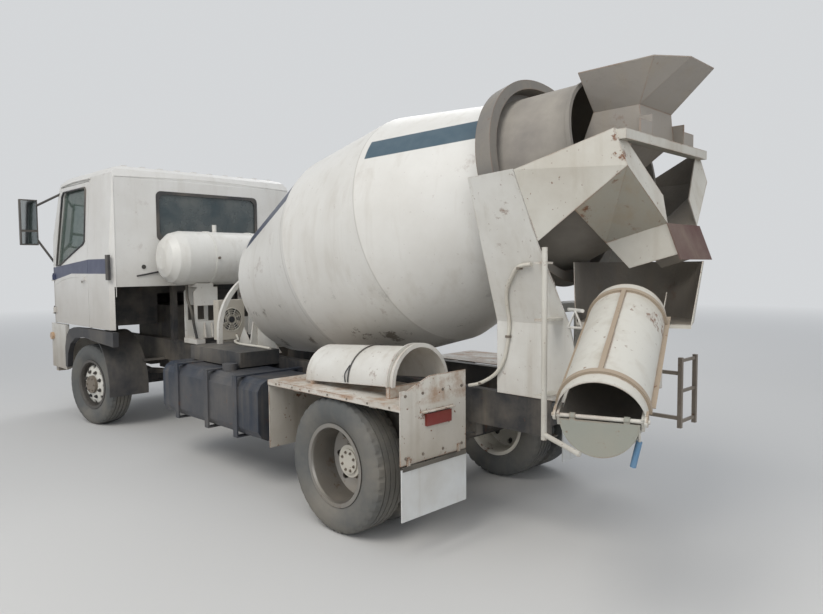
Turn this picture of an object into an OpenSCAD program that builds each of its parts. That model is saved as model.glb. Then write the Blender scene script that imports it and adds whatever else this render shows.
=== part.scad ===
// Concrete mixer truck with a short tilting cab, twin rear tyres and a small inclined drum.
// All lengths in millimetres. Modules are drawn with X forward from the rear axle, Y left, Z up
// from the ground.

/* [Layout] */
// front axle to rear axle
wheelbase = 4290; // [3800:10:4800]
// rear axle to the front face of the bumper
front_x = 5440; // [5300:10:5700]
// half width over the frame rails
rail_out = 425; // [380:5:460]
// top of the frame rails above ground
rail_top = 915; // [860:5:960]
// depth of a frame rail
rail_h = 220; // [180:5:240]
// width of a rail flange
rail_w = 70; // [60:5:80]
// thickness of a rail wall
rail_t = 8; // [6:1:10]
// rear end of the rails behind the axle
rail_rear = -1180; // [-1400:10:-1130]
// front end of the rails
rail_front = 5180; // [5100:10:5260]

/* [Wheels] */
// tyre radius
tyre_r = 433; // [420:1:445]
// tyre section width
tyre_w = 262; // [250:2:275]
// radius of the rim flange
rim_r = 262; // [255:1:268]
// outer face of the outer rear tyre from the centre line
rear_face = 1095; // [1080:5:1120]
// distance between the twin tyres' middles
twin_gap = 300; // [290:2:310]
// middle of the front tyre from the centre line
front_y = 930; // [900:5:960]
// kingpin from the centre line
king_y = 790; // [770:5:800]
// front wheels parked turned to the left, degrees
steer_angle = 9; // [-20:1:20]
// hand holes in a wheel disc
hand_holes = 8; // [6:1:10]

/* [Cab] */
// rear wall of the cab from the rear axle
cab_rear = 3506; // [3480:2:3540]
// half width of the cab at the belt
cab_half = 1080; // [1050:5:1100]
// half width of the cab at the roof
roof_half = 1030; // [1000:5:1060]
// height of the belt where the sides begin to lean in
belt_z = 1750; // [1700:5:1800]
// height of the roof
roof_z = 2720; // [2650:5:2760]
// lowest edge of the cab in front
cab_low = 1060; // [1045:5:1090]
// lowest edge of the cab's rear corner
cab_skirt = 1066; // [1062:1:1240]
// underside of the raised rear floor
cab_deck = 1500; // [1470:5:1520]
// thickness of the cab's walls
cab_wall = 40; // [30:2:50]
// rear edge of the door opening
door_rear = 4126; // [4100:2:4160]
// front edge of the door
door_front = 5190; // [5160:2:5210]
// top edge of the door
door_top = 2600; // [2560:5:2620]
// thickness of a door
door_t = 56; // [50:2:60]
// gap round a door
door_gap = 6; // [5:1:8]
// half width of the rear window
rw_half = 580; // [540:5:620]
// lower edge of the rear window
rw_low = 1985; // [1950:5:2020]
// upper edge of the rear window
rw_top = 2465; // [2440:5:2500]
// number of roof ribs
ribs = 10; // [6:1:12]
// distance between roof ribs
rib_pitch = 190; // [170:5:200]

/* [Drum] */
// slope of the drum's axis, degrees
drum_tilt = 14; // [10:0.5:18]
// drum seam behind the cab: place along the truck
drum_x = 36; // [0:2:80]
// height of the axis at the seam
drum_z = 1971; // [1950:1:1990]
// radius at the seam
drum_r = 841; // [820:1:860]
// radius at the front seam
drum_r1 = 858; // [840:1:870]
// radius of the front end
drum_r0 = 614; // [590:1:640]
// front seam ahead of the rear one
drum_l1 = 813; // [780:1:850]
// front end ahead of the seam
drum_l0 = 1889; // [1850:1:1900]
// end of the rear cone behind the seam
cone_l = 880; // [850:1:900]
// radius at the end of the rear cone
cone_r = 572; // [560:1:590]
// rim of the mouth behind the seam
mouth_l = 1414; // [1380:1:1440]
// outer radius of the mouth
mouth_r = 463; // [450:1:480]
// shell thickness
drum_t = 8; // [6:1:10]
// outer radius of the roller ring
ring_r = 660; // [650:1:670]
// radius inside the roller ring
ring_in = 600; // [590:1:610]
// front face of the roller ring behind the seam
ring_l = 900; // [885:1:915]
// width of the roller ring
ring_w = 110; // [90:2:120]
// radius of a support roller
roll_r = 95; // [85:1:110]
// width of a support roller
roll_w = 90; // [80:2:100]
// rollers' place from straight below the axis, degrees
roll_a = 28; // [24:1:32]

/* [Chute] */
// upright chute pivot from the rear axle
piv_x = -1485; // [-1520:5:-1450]
// parked direction of the chute, 180 is straight back
chute_az = 109.7; // [105:0.1:115]
// slope of the chute, degrees
chute_slope = 24.9; // [20:0.1:30]
// radius of the chute trough
chute_r = 169; // [155:1:175]
// radius of the folded end piece
ext_r = 187; // [180:1:195]
// height of the trough axis over the pivot
chute_z = 1613; // [1590:1:1640]
// pivot to the low end of the chute
chute_l = 1172; // [1100:1:1250]
// length of the folded section
ext_l = 893; // [860:1:920]
// plate of the chutes
chute_t = 4; // [3:0.5:6]
// radius of the scoop at the head of the chute
scoop_r = 345; // [330:5:360]
// rim of the scoop above ground
scoop_z = 1700; // [1680:5:1720]

/* [Hidden] */
k = 0.3;
// taper of the drum's rear cone where the ring sits
cone_s = 14 / 60;
bowl_f = 1362;
luff_z = 1165;
bowl_r = 300;
bowl_in = 140;
trough_in = 172;
lift_x = 230;
lift_z = 1240;
lift_pin = 15;
band_in = 65;
band_w = 24;
band_h = 12;
chute_h = (chute_z - luff_z) * cos(chute_slope);
s_rear = piv_x + cos(chute_az) * (chute_h * sin(chute_slope) + chute_l * cos(chute_slope));
rear_x = s_rear - (ext_r + band_h) * sin(chute_az);
x_mid = (front_x + rear_x) / 2;
rail_low = rail_top - rail_h;
twin_out = rear_face - tyre_w / 2;
twin_in = twin_out - twin_gap;
scr_low = [5345, 1700];
scr_top = [5060, 2590];
door_low = cab_low + 6;
lip_x = -1745;
hoop_r = 590;
hoop_z = 1090;
ctl_x = -1255;
ctl_y = 610;
cool_x = 2630;
cool_y = 285;
stub_y = (twin_out + twin_in) / 2 + 125;
spare_x = -480;
spare_z = 975;
spare_a = 3.5;
tilt_x = 5290;
tilt_z = 960;
tilt_r = 18;
fold_x = chute_l + 8;
fold_z = 15;
hinge_x = door_front + door_gap / 2;
hinge_z = [1180, 1560];

// profile of a tyre, radius and width
tyre_pts = [
  [rim_r - 8, -tyre_w * 0.36], [rim_r + 8, -tyre_w * 0.40], [rim_r + 26, -tyre_w * 0.43],
    [tyre_r - 92, -tyre_w / 2],
  [tyre_r - 30, -tyre_w * 0.47], [tyre_r - 7, -tyre_w * 0.40], [tyre_r, -tyre_w * 0.30],
  [tyre_r, tyre_w * 0.30], [tyre_r - 7, tyre_w * 0.40], [tyre_r - 30, tyre_w * 0.47],
  [tyre_r - 92, tyre_w / 2], [rim_r + 26, tyre_w * 0.43], [rim_r + 8, tyre_w * 0.40],
    [rim_r - 8, tyre_w * 0.36]
];

// moves the rear axle's frame to the middle of the whole truck
module truck() {
  translate([-x_mid, 0, 0])
    children();
}

module bx(x0, x1, y0, y1, z0, z1) {
  translate([x0, y0, z0])
    cube([x1 - x0, y1 - y0, z1 - z0]);
}

module both() {
  children();
  mirror([0, 1, 0])
    children();
}

// flat outline in X and Z, pulled along Y from y0 to y1
module slab(pts, y0, y1) {
  translate([0, y1, 0])
    rotate([90, 0, 0])
      linear_extrude(height = y1 - y0)
        polygon(pts);
}

// flat outline in Y and Z, pulled along X from x0 to x1
module wall(pts, x0, x1) {
  translate([x0, 0, 0])
    rotate([90, 0, 90])
      linear_extrude(height = x1 - x0)
        polygon(pts);
}

module rod_y(r, x, z, y0, y1) {
  translate([x, y0, z])
    rotate([-90, 0, 0])
      cylinder(r = r, h = y1 - y0);
}

module rod_x(r, y, z, x0, x1) {
  translate([x0, y, z])
    rotate([0, 90, 0])
      cylinder(r = r, h = x1 - x0);
}

// straight round bar between two points
module bar(a, b, r) {
  d = b - a;
  l = norm(d);
  translate(a)
    rotate([0, acos(d[2] / l), atan2(d[1], d[0])])
      cylinder(r = r, h = l);
}

// thin plate with the given corners in order, t thick
module plate(c, t) {
  n = cross(c[1] - c[0], c[2] - c[0]);
  v = n / norm(n) * t;
  q = len(c);
  polyhedron(
    points = concat(c, [for (p = c) p + v]),
    faces = concat(
      [for (i = [1:q - 2]) [0, i, i + 1]],
      [for (i = [1:q - 2]) [q, q + i + 1, q + i]],
      [for (i = [0:q - 1]) [i, q + i, (i + 1) % q]],
      [for (i = [0:q - 1]) [(i + 1) % q, q + i, q + (i + 1) % q]]
    )
  );
}

module frame() {
  truck() color([0.10, 0.10, 0.10]) {
    both() {
      difference() {
        bx(rail_rear, rail_front, rail_out - rail_w, rail_out, rail_low, rail_top);
        bx(rail_rear - 1, rail_front + 1, rail_out - rail_w - 1, rail_out - rail_t,
          rail_low + rail_t, rail_top - rail_t);
      }
    }
    for (x = [-1100, -560, 560, 1500, 2700, 3080, 5060])
      bx(x - 35, x + 35, -(rail_out - rail_t), rail_out - rail_t, rail_low + 50, rail_top - 60);
    both()
      difference() {
        bx(rail_front - 30, tilt_x + 30, rail_out - 40, rail_out - 14, 800.1, tilt_z + 30);
        rod_y(tilt_r + 0.05, tilt_x, tilt_z, 300, 500);
      }
    both()
      bx(3570, 3640, rail_out - 60, rail_out - 10, rail_top, cab_deck - 30);
    bx(3570, 3640, -(rail_out - 10), rail_out - 10, cab_deck - 60, cab_deck - k);
  }
}

module leaf(xc, half, z0, rise) {
  slab([
    [xc - half, z0 + rise], [xc - half * 0.55, z0 + rise * 0.3], [xc, z0],
      [xc + half * 0.55, z0 + rise * 0.3],
    [xc + half, z0 + rise], [xc + half, z0 + rise + 16], [xc + half * 0.8, z0 + rise * 0.7 + 16],
    [xc, z0 + 58], [xc - half * 0.8, z0 + rise * 0.7 + 16], [xc - half, z0 + rise + 16]
  ], rail_out - rail_w - 5, rail_out - 5);
}

module front_axle() {
  truck() color([0.12, 0.12, 0.12]) {
    difference() {
      union() {
        bx(wheelbase - 38, wheelbase + 38, -king_y, king_y, tyre_r - 60, tyre_r + 50);
        both()
          translate([wheelbase, king_y, tyre_r - 60])
            cylinder(r = 36, h = 110);
      }
      both()
        translate([wheelbase, king_y, tyre_r - 80])
          cylinder(r = 24 + 0.05, h = 160);
      both()
        bx(wheelbase - 60, wheelbase - 24, -10, 620, tyre_r - 38, tyre_r + 28);
      both()
        bx(wheelbase + 24, wheelbase + 60, -10, 620, tyre_r - 38, tyre_r + 28);
    }
    both() {
      leaf(wheelbase, 640, tyre_r + 50, 120);
      bx(wheelbase - 640, wheelbase - 590, rail_out - rail_w, rail_out - 10, tyre_r + 186, rail_low);
      bx(wheelbase + 590, wheelbase + 640, rail_out - rail_w, rail_out - 10, tyre_r + 186, rail_low);
    }
  }
}

module rear_axle() {
  truck() color([0.12, 0.12, 0.12]) {
    rod_y(72, 0, tyre_r, -twin_out + 190, twin_out - 190);
    rod_y(44.9, 0, tyre_r, -stub_y, stub_y);
    translate([-40, 0, tyre_r])
      rotate([0, 90, 0])
        cylinder(r = 205, h = 110);
    translate([70, 0, tyre_r])
      rotate([0, 90, 0])
        cylinder(r1 = 170, r2 = 85, h = 170);
    both() {
      bx(-60, 60, rail_out - rail_w - 5, rail_out - 5, tyre_r + 55, tyre_r + 90);
      leaf(0, 620, tyre_r + 90, 90);
      bx(-620, -570, rail_out - rail_w, rail_out - 10, tyre_r + 196, rail_low);
      bx(570, 620, rail_out - rail_w, rail_out - 10, tyre_r + 196, rail_low);
    }
  }
}

module driveline() {
  truck() color([0.16, 0.16, 0.15]) {
    difference() {
      bx(3760, 4700, -310, 310, 560, 1270);
      bx(wheelbase - 120, wheelbase + 120, -311, 311, 559, 640);
    }
    bx(3150, 3760, -190, 190, 600, 900);
    bar([3150, 0, 680], [246, 0, tyre_r + 2], 48);
    both()
      bx(4300, 4420, 310, rail_out - rail_t, 740, 840);
    both()
      bx(3250, 3330, 190, rail_out - rail_t, 740, 800);
  }
}

module fuel_tank() {
  truck() color([0.07, 0.08, 0.09]) {
    translate([940, 0, 0])
      rotate([90, 0, 90])
        linear_extrude(height = 1560)
          polygon([
            [470, 470], [500, 420], [550, 395], [950, 395], [1000, 420], [1030, 470], [1030, 770],
            [1000, 820], [950, 850], [550, 850], [500, 835], [470, 790]
          ]);
    for (x = [1250, 1700, 2220])
      difference() {
        bx(x - 30, x + 30, rail_out, 1042, 385, 862);
        bx(x - 31, x + 31, 470, 1030, 395, 850);
      }
    translate([1590, 880, 850])
      cylinder(r = 60, h = 55);
  }
}

module side_boxes() {
  truck() color([0.10, 0.12, 0.15]) {
    bx(1560, 2420, rail_out, 800, 862, rail_top + 70);
    bx(1000, 2000, -1000, -rail_out, 470, 800);
    rod_x(120, -620, 620, 2250, 3000);
    bx(2300, 2340, -560, -rail_out, 560, 800);
    bx(2900, 2940, -560, -rail_out, 560, 800);
  }
}

module rear_fenders() {
  truck() color([0.86, 0.85, 0.81]) {
    both() {
      bx(-630, 694, 539, 1100, 897, 903);
      bx(-630, 694, 1094, 1100, 868, 897);
      bx(688, 694, 539, 1094, 420, 897);
      bx(-636, -630, 539, 1100, 560, 985);
      bx(-646, -636, 600, 620, 540, 600);
      bx(-646, -636, 1030, 1050, 540, 600);
      wall([[539, 985], [539, 1050], [860, 1050], [1040, 985]], -636, -630);
      bx(-664, -636, 660, 940, 842, 848);
      bx(-664, -636, 660, 940, 842, 848);
      for (x = [-380, 380])
        bx(x - 30, x + 30, rail_out, 1080, 857, 897);
    }
    for (x = [-420, 330])
      slab([[x - 15, 903], [x + 15, 903], [x + 15, spare_edge(x + 15)],
        [x - 15, spare_edge(x - 15)]], 539, 991);
  }
}

module lamps() {
  truck() color([0.60, 0.08, 0.05]) {
    both()
      bx(-656, -636, 690, 900, 760, 832);
    both()
      slab([[front_x - 26, 602], [front_x - 12, 602], [front_x - 12, 728], [front_x - 26, 728]], 642, 880);
    both()
      translate([5285, 1086, 900])
        rotate([-90, 0, 0])
          cylinder(r = 42, h = 26);
  }
}

module rubber_flaps() {
  truck() color([0.80, 0.81, 0.80]) {
    both()
      bx(-644, -636, 545, 1098, 241, 540);
    slab([[-1811.51, 1708], [-1738, 1900], [-1746, 1900], [-1819.51, 1708]], -205, 205);
  }
}

module arch_cut(y0, y1, r) {
  rod_y(r, wheelbase, tyre_r, y0, y1);
}

// height of the straight edges of the spare piece over x
function spare_edge(x) = spare_z - (x - spare_x) * tan(spare_a);

// dark flare over the front wheel, in X and Z
flare = [
  [4858, 576], [4858, 800], [4800, 940], [4700, 1010], [4560, 1040], [4200, 1050], [3450, 1050],
    [3450, 905],
  [3900, 925], [4250, 950], [4520, 925], [4680, 850], [4765, 740], [4800, 576]
];

module front_mudguards() {
  truck() color([0.13, 0.13, 0.14])
    both() {
      slab(flare, 1042, 1098);
      intersection() {
        difference() {
          rod_y(575, wheelbase, tyre_r, 640, 1046);
          rod_y(560, wheelbase, tyre_r, 600, 1100);
        }
        slab([
          [wheelbase - 640, 360], [wheelbase - 300, 360], [wheelbase, tyre_r],
            [wheelbase + 60, tyre_r + 300],
          [wheelbase + 60, 1060], [wheelbase - 640, 1060]
        ], 600, 1100);
      }
      bx(wheelbase - 530, wheelbase - 480, rail_out, 670, 692, 716);
    }
}

module bumper() {
  truck() color([0.88, 0.87, 0.84]) {
    difference() {
      translate([0, 0, 480])
        linear_extrude(height = 355)
          polygon([
            [5260, -1050], [5340, -1050], [front_x - 25, -900], [front_x, -600], [front_x, 600],
            [front_x - 25, 900], [5340, 1050], [5260, 1050]
          ]);
      bx(5200, 5370, -940, 940, 470, 900);
      both()
        bx(front_x - 26, front_x + 10, 640, 882, 600, 730);
    }
    both() {
      bx(rail_front, 5382, rail_out - 60, rail_out - 10, 720, 800);
      slab([[4860, 540], [5335, 540], [5335, 1050], [4860, 1050]], 1045, 1086);
    }
  }
}

// side outline of the cab, drawn in by i
function cab_side(i) = [
  [cab_rear + i, cab_low], [cab_rear + i, roof_z - 130], [cab_rear + 40 + i * 0.6, roof_z - 40 - i],
  [cab_rear + 120, roof_z - i], [4780, roof_z - i], [4960, roof_z - 30 - i],
  [scr_top[0] - i * 1.05, scr_top[1]], [scr_low[0] - i * 1.05, scr_low[1]],
  [5400 - i, 1560], [5425 - i, 1250], [5415 - i, cab_low]
];

// outline of the cab seen from the front, drawn in by i
function cab_face(i) = [
  [-(cab_half - i), cab_low], [cab_half - i, cab_low], [cab_half - i, belt_z],
  [roof_half - i, roof_z - 80], [roof_half - 60 - i, roof_z - 15 - i], [roof_half - 150, roof_z - i],
  [-(roof_half - 150), roof_z - i], [-(roof_half - 60 - i), roof_z - 15 - i],
  [-(roof_half - i), roof_z - 80], [-(cab_half - i), belt_z]
];

// plan of the cab, drawn in by i
function cab_plan(i) = [
  [cab_rear + i, -(cab_half - 50 - i)], [cab_rear + 50 + i, -(cab_half - i)], [5215, -(cab_half - i)],
  [5310 - i, -(cab_half - 75 - i)], [5390 - i, -(cab_half - 240 - i)], [5426 - i, -(cab_half - 420)],
  [5426 - i, cab_half - 420], [5390 - i, cab_half - 240 - i], [5310 - i, cab_half - 75 - i],
  [5215, cab_half - i], [cab_rear + 50 + i, cab_half - i], [cab_rear + i, cab_half - 50 - i]
];

module cab_env(i) {
  intersection() {
    slab(cab_side(i), -1200, 1200);
    wall(cab_face(i), 3400, 5500);
    translate([0, 0, 1000])
      linear_extrude(height = 1800)
        polygon(cab_plan(i));
  }
}

// outline of the door in X and Z, drawn in by g
function door_pts(g) = [
  [door_rear + g, door_low + g], [4800, door_low + g], [4862, door_low + g], [door_front - g, door_low + g],
  [door_front - g, 1700], [door_front - 210 - g, door_top - g], [door_rear + g, door_top - g]
];

win_pts = [
  [4215, 1975], [4260, 1945], [4420, 1900], [4960, 1730], [5095, 1722], [5080, 1800], [4945, 2500],
    [4900, 2545],
  [4245, 2545], [4215, 2515]
];

// band between depths a and b inside the side face
module side_band(a, b) {
  wall([
    [cab_half - a, 900], [cab_half - a, belt_z], [roof_half - a, roof_z - 80], [roof_half - a, roof_z],
    [roof_half - b, roof_z], [roof_half - b, roof_z - 80], [cab_half - b, belt_z], [cab_half - b, 900]
  ], 3400, 5500);
}

module cab_shell() {
  truck() color([0.90, 0.89, 0.86]) {
    difference() {
      union() {
        difference() {
          cab_env(0);
          difference() {
            cab_env(cab_wall);
            bx(3400, 4180, -1200, 1200, 1000, cab_deck + cab_wall);
            bx(4180, 5500, -1200, 1200, 1000, 1140);
            bx(4170, 5240, -370, 370, 1000, 1440);
          }
          bx(3400, 4140, -(cab_half - cab_wall), cab_half - cab_wall, 1000, cab_deck);
          bx(4130, 5200, -330, 330, 1000, 1400);
          bx(3400, door_rear - 40, -1200, 1200, 1000, cab_skirt);
          bx(3400, door_rear - 40, -(cab_half - 90), cab_half - 90, 1000, cab_deck);
        }
        for (n = [0:ribs - 1])
          bx(cab_rear + 130, 4740, (n - (ribs - 1) / 2) * rib_pitch - 24,
            (n - (ribs - 1) / 2) * rib_pitch + 24, roof_z - 10, roof_z + 12);
      }
      both()
        intersection() {
          slab(door_pts(-door_gap), 900, 1200);
          side_band(-20, door_t + door_gap);
        }
      both()
        slab([
          [door_rear + 40, 1140], [4850, 1140], [door_front - 60, 1140], [door_front - 60, 1700],
          [door_front - 250, door_top - 40], [door_rear + 40, door_top - 40]
        ], 900, 1200);
      wall([[-rw_half, rw_low], [rw_half, rw_low], [rw_half, rw_top], [-rw_half, rw_top]], 3400, 3600);
      wall([[-920, 1765], [920, 1765], [870, 2520], [-870, 2520]], 4950, 5500);
      for (z = [1130:60:1370])
        bx(5412, 5450, -600, 600, z, z + 28);
    }
    both() {
      bx(tilt_x - 25, tilt_x + 25, rail_out - 80, rail_out - 45, tilt_z - 28, cab_low + 2);
      rod_y(tilt_r, tilt_x, tilt_z, rail_out - 70, rail_out + 5);
    }
    both()
      for (z = hinge_z) {
        translate([hinge_x, cab_half + 12, z - 16])
          cylinder(r = 6, h = 92);
        bx(hinge_x - 8, hinge_x + 40, cab_half + 3, cab_half + 20, z - 16, z - 3);
        bx(hinge_x + 4, hinge_x + 40, cab_half - 2, cab_half + 4, z - 16, z - 3);
      }
  }
}

module cab_glass() {
  truck() color([0.20, 0.28, 0.28]) {
    wall([[-rw_half, rw_low], [rw_half, rw_low], [rw_half, rw_top], [-rw_half, rw_top]],
      cab_rear + 12, cab_rear + 18);
    intersection() {
      slab([
        [scr_low[0] - 22, scr_low[1]], [scr_low[0] - 16, scr_low[1]],
        [scr_top[0] - 16, scr_top[1]], [scr_top[0] - 22, scr_top[1]]
      ], -1000, 1000);
      wall([[-920, 1765], [920, 1765], [870, 2520], [-870, 2520]], 4950, 5500);
    }
  }
}

module cab_interior() {
  truck() color([0.20, 0.20, 0.21]) {
    slab([[5000, 1560], [5215, 1560], [5235, 1740], [5150, 1800], [5010, 1780]], -1000, 1000);
    bx(5090, 5200, -900, 900, 1440, 1560);
    bx(5100, 5180, -320, 320, 1440, 1450);
    for (y = [-500, 500]) {
      bx(3660, 4150, y - 240, y + 240, cab_deck + cab_wall, cab_deck + cab_wall + 130);
      slab([[3600, cab_deck + cab_wall + 130], [3760, cab_deck + cab_wall + 130], [3680, 2250],
        [3600, 2250]],
        y - 230, y + 230);
    }
    bar([5040, -500, 1640], [4836.1, -500, 1757.24], 26);
  }
}

module steering_wheel() {
  truck() color([0.08, 0.08, 0.08])
    translate([4836, -500, 1757.3])
      rotate([0, -60.1, 0]) {
        difference() {
          cylinder(r = 215, h = 26);
          translate([0, 0, -1])
            cylinder(r = 190, h = 28);
        }
        cylinder(r = 45, h = 26);
        for (a = [90, 210, 330])
          rotate([0, 0, a])
            translate([0, -16, 6])
              cube([195, 32, 14]);
      }
}

module mirrors() {
  truck() color([0.08, 0.08, 0.08])
    both()
      difference() {
        union() {
          bx(5252, 5300, 1215, 1400, 1960, 2480);
          bar([5022, 1000, 2560], [5276, 1245, 2400], 13);
          bar([5235, 1020, 1700], [5276, 1245, 2060], 13);
        }
        cab_env(0);
      }
}

module cab_trim() {
  truck() color([0.09, 0.09, 0.10])
    both() {
      bx(cab_rear - 6, cab_rear + 60, cab_half + 0.5, cab_half + 26, 1570, 1820);
      bx(cab_rear + 60, cab_rear + 61, cab_half, cab_half + 0.5, 1570, 1820);
      bx(cab_rear + 52, cab_rear + 60, cab_half, cab_half + 0.5, 1570, 1820);
    }
}

module door() {
  color([0.90, 0.89, 0.86]) {
    difference() {
      intersection() {
        cab_env(0);
        slab(door_pts(0), 900, 1200);
        side_band(-20, door_t);
      }
      slab(win_pts, 900, 1200);
    }
    bx(4200, 4330, cab_half - 2, cab_half + 22, 1560, 1600);
    for (z = hinge_z)
      difference() {
        union() {
          translate([hinge_x, cab_half + 12, z])
            cylinder(r = 12, h = 60);
          bx(hinge_x - 40, hinge_x, cab_half - 2, cab_half + 10, z, z + 60);
        }
        translate([hinge_x, cab_half + 12, z - 1])
          cylinder(r = 6 + 0.05, h = 62);
      }
  }
}

module door_pane() {
  color([0.20, 0.28, 0.28])
    intersection() {
      slab(win_pts, 900, 1200);
      side_band(24, 29);
    }
}

module tyre_one(y) {
  translate([0, y, 0])
    rotate([-90, 0, 0])
      rotate_extrude()
        polygon(tyre_pts);
}

// rim barrel about Y with its middle at y
module barrel(y) {
  translate([0, y, 0])
    rotate([-90, 0, 0])
      rotate_extrude()
        polygon([
          [rim_r - 22, -tyre_w * 0.42], [rim_r + 4, -tyre_w * 0.42], [rim_r + 4, -tyre_w * 0.41],
          [rim_r - 8, -tyre_w * 0.36], [rim_r - 8, tyre_w * 0.36], [rim_r + 4, tyre_w * 0.41],
          [rim_r + 4, tyre_w * 0.42], [rim_r - 22, tyre_w * 0.42], [rim_r - 28, tyre_w * 0.36],
          [rim_r - 28, -tyre_w * 0.36]
        ]);
}

// wheel disc about Y from the barrel in to the hub
module disc(y, dish, face) {
  difference() {
    translate([0, y, 0])
      rotate([-90, 0, 0])
        rotate_extrude()
          polygon([
            [45, face], [120, face], [165, face - dish * 0.3], [rim_r - 26, face - dish],
            [rim_r - 26, face - dish - 14], [160, face - dish * 0.3 - 14], [118, face - 14], [45, face - 14]
          ]);
    for (n = [0:hand_holes - 1])
      translate([0, y - 200, 0])
        rotate([0, n * 360 / hand_holes, 0])
          translate([190, 0, 0])
            rotate([-90, 0, 0])
              cylinder(r = 24, h = 400);
  }
}

module rims_rear() {
  difference() {
    union() {
      barrel(twin_out);
      barrel(twin_in);
      disc(twin_out, -49, 21 - twin_gap / 2);
      disc(twin_in, 49, twin_gap / 2 - 7);
      translate([0, (twin_out + twin_in) / 2 - 15, 0])
        rotate([-90, 0, 0])
          cylinder(r = 105, h = 145);
    }
    translate([0, 500, 0])
      rotate([-90, 0, 0])
        cylinder(r = 45, h = 700);
  }
  translate([0, (twin_out + twin_in) / 2 + 130, 0])
    rotate([-90, 0, 0])
      cylinder(r = 80, h = 12);
}

module rim_front() {
  difference() {
    union() {
      barrel(0);
      disc(0, 40, 92);
      translate([0, -70, 0])
        rotate([-90, 0, 0])
          cylinder(r = 92, h = 190);
    }
    translate([0, -300, 0])
      rotate([-90, 0, 0])
        cylinder(r = 30 + 0.05, h = 380);
  }
}

module steered() {
  translate([wheelbase, king_y, 0])
    rotate([0, 0, steer_angle])
      translate([-wheelbase, -king_y, 0])
        children();
}

// right side turned the same way as the left
module steered_r() {
  translate([wheelbase, -king_y, 0])
    rotate([0, 0, steer_angle])
      translate([-wheelbase, king_y, 0])
        mirror([0, 1, 0])
          children();
}

module knuckle() {
  color([0.14, 0.14, 0.14]) {
    translate([wheelbase, king_y, tyre_r - 90])
      cylinder(r = 24, h = 170);
    bx(wheelbase - 34, wheelbase + 34, king_y - 40, king_y + 55.5, tyre_r + 51, tyre_r + 80);
    bx(wheelbase - 34, wheelbase + 34, king_y - 40, king_y + 55.5, tyre_r - 90, tyre_r - 61);
    bx(wheelbase - 34, wheelbase + 34, king_y + 38, king_y + 55.5, tyre_r - 90, tyre_r + 80);
    rod_y(30, wheelbase, tyre_r, king_y + 45, front_y + 60);
  }
}

module wheel_f_tyre() {
  translate([wheelbase, front_y, tyre_r])
    tyre_one(0);
}

module wheel_f_rim() {
  translate([wheelbase, front_y, tyre_r])
    rim_front();
}

// places children on the drum's axis, Z along the axis towards the mouth, zero at the seam
module on_drum() {
  translate([drum_x, 0, drum_z])
    rotate([0, drum_tilt - 90, 0])
      children();
}

module mixing_drum() {
  truck() color([0.88, 0.87, 0.84])
    on_drum() {
      rotate_extrude()
        polygon([
          [0, -drum_l0 - 90], [200, -drum_l0 - 90], [430, -drum_l0 - 62], [drum_r0, -drum_l0],
          [drum_r1, -drum_l1], [drum_r, 0], [cone_r, cone_l], [cone_r - drum_t, cone_l],
          [drum_r - drum_t, 0], [drum_r1 - drum_t, -drum_l1], [drum_r0 - drum_t, -drum_l0 + 4],
          [426, -drum_l0 - 52], [198, -drum_l0 - 80], [0, -drum_l0 - 80]
        ]);
      translate([0, 0, -drum_l0 - 130])
        cylinder(r = 150, h = 45);
    }
}

module drum_neck() {
  truck() color([0.62, 0.59, 0.54])
    on_drum() {
      rotate_extrude()
        polygon([
          [cone_r - k * cone_s, cone_l + k], [cone_r - 60 * cone_s, cone_l + 60], [mouth_r, mouth_l],
          [mouth_r - drum_t, mouth_l], [cone_r - 60 * cone_s - drum_t, cone_l + 60],
          [cone_r - k * cone_s - drum_t, cone_l + k]
        ]);
      rotate_extrude()
        polygon([
          [mouth_r - 2, mouth_l - 26], [mouth_r + 14, mouth_l - 26], [mouth_r + 14, mouth_l],
          [mouth_r - 2, mouth_l]
        ]);
    }
}

module drum_ring() {
  truck() color([0.80, 0.79, 0.76])
    on_drum()
      rotate_extrude()
        polygon([
          [ring_in, ring_l], [ring_r, ring_l], [ring_r, ring_l + ring_w], [ring_in, ring_l + ring_w],
          [ring_in, ring_l + 24], [cone_r - (ring_l + 24 - cone_l) * cone_s + k, ring_l + 24],
          [cone_r - (ring_l - cone_l) * cone_s + k, ring_l]
        ]);
}

module roller() {
  color([0.35, 0.33, 0.30])
    on_drum()
      rotate([0, 0, 180 - roll_a])
        translate([ring_r + roll_r + k, 0, ring_l + ring_w / 2])
          difference() {
            translate([0, 0, -roll_w / 2])
              cylinder(r = roll_r, h = roll_w);
            translate([0, 0, -roll_w])
              cylinder(r = 25 + 0.05, h = roll_w * 2);
          }
}

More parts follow.
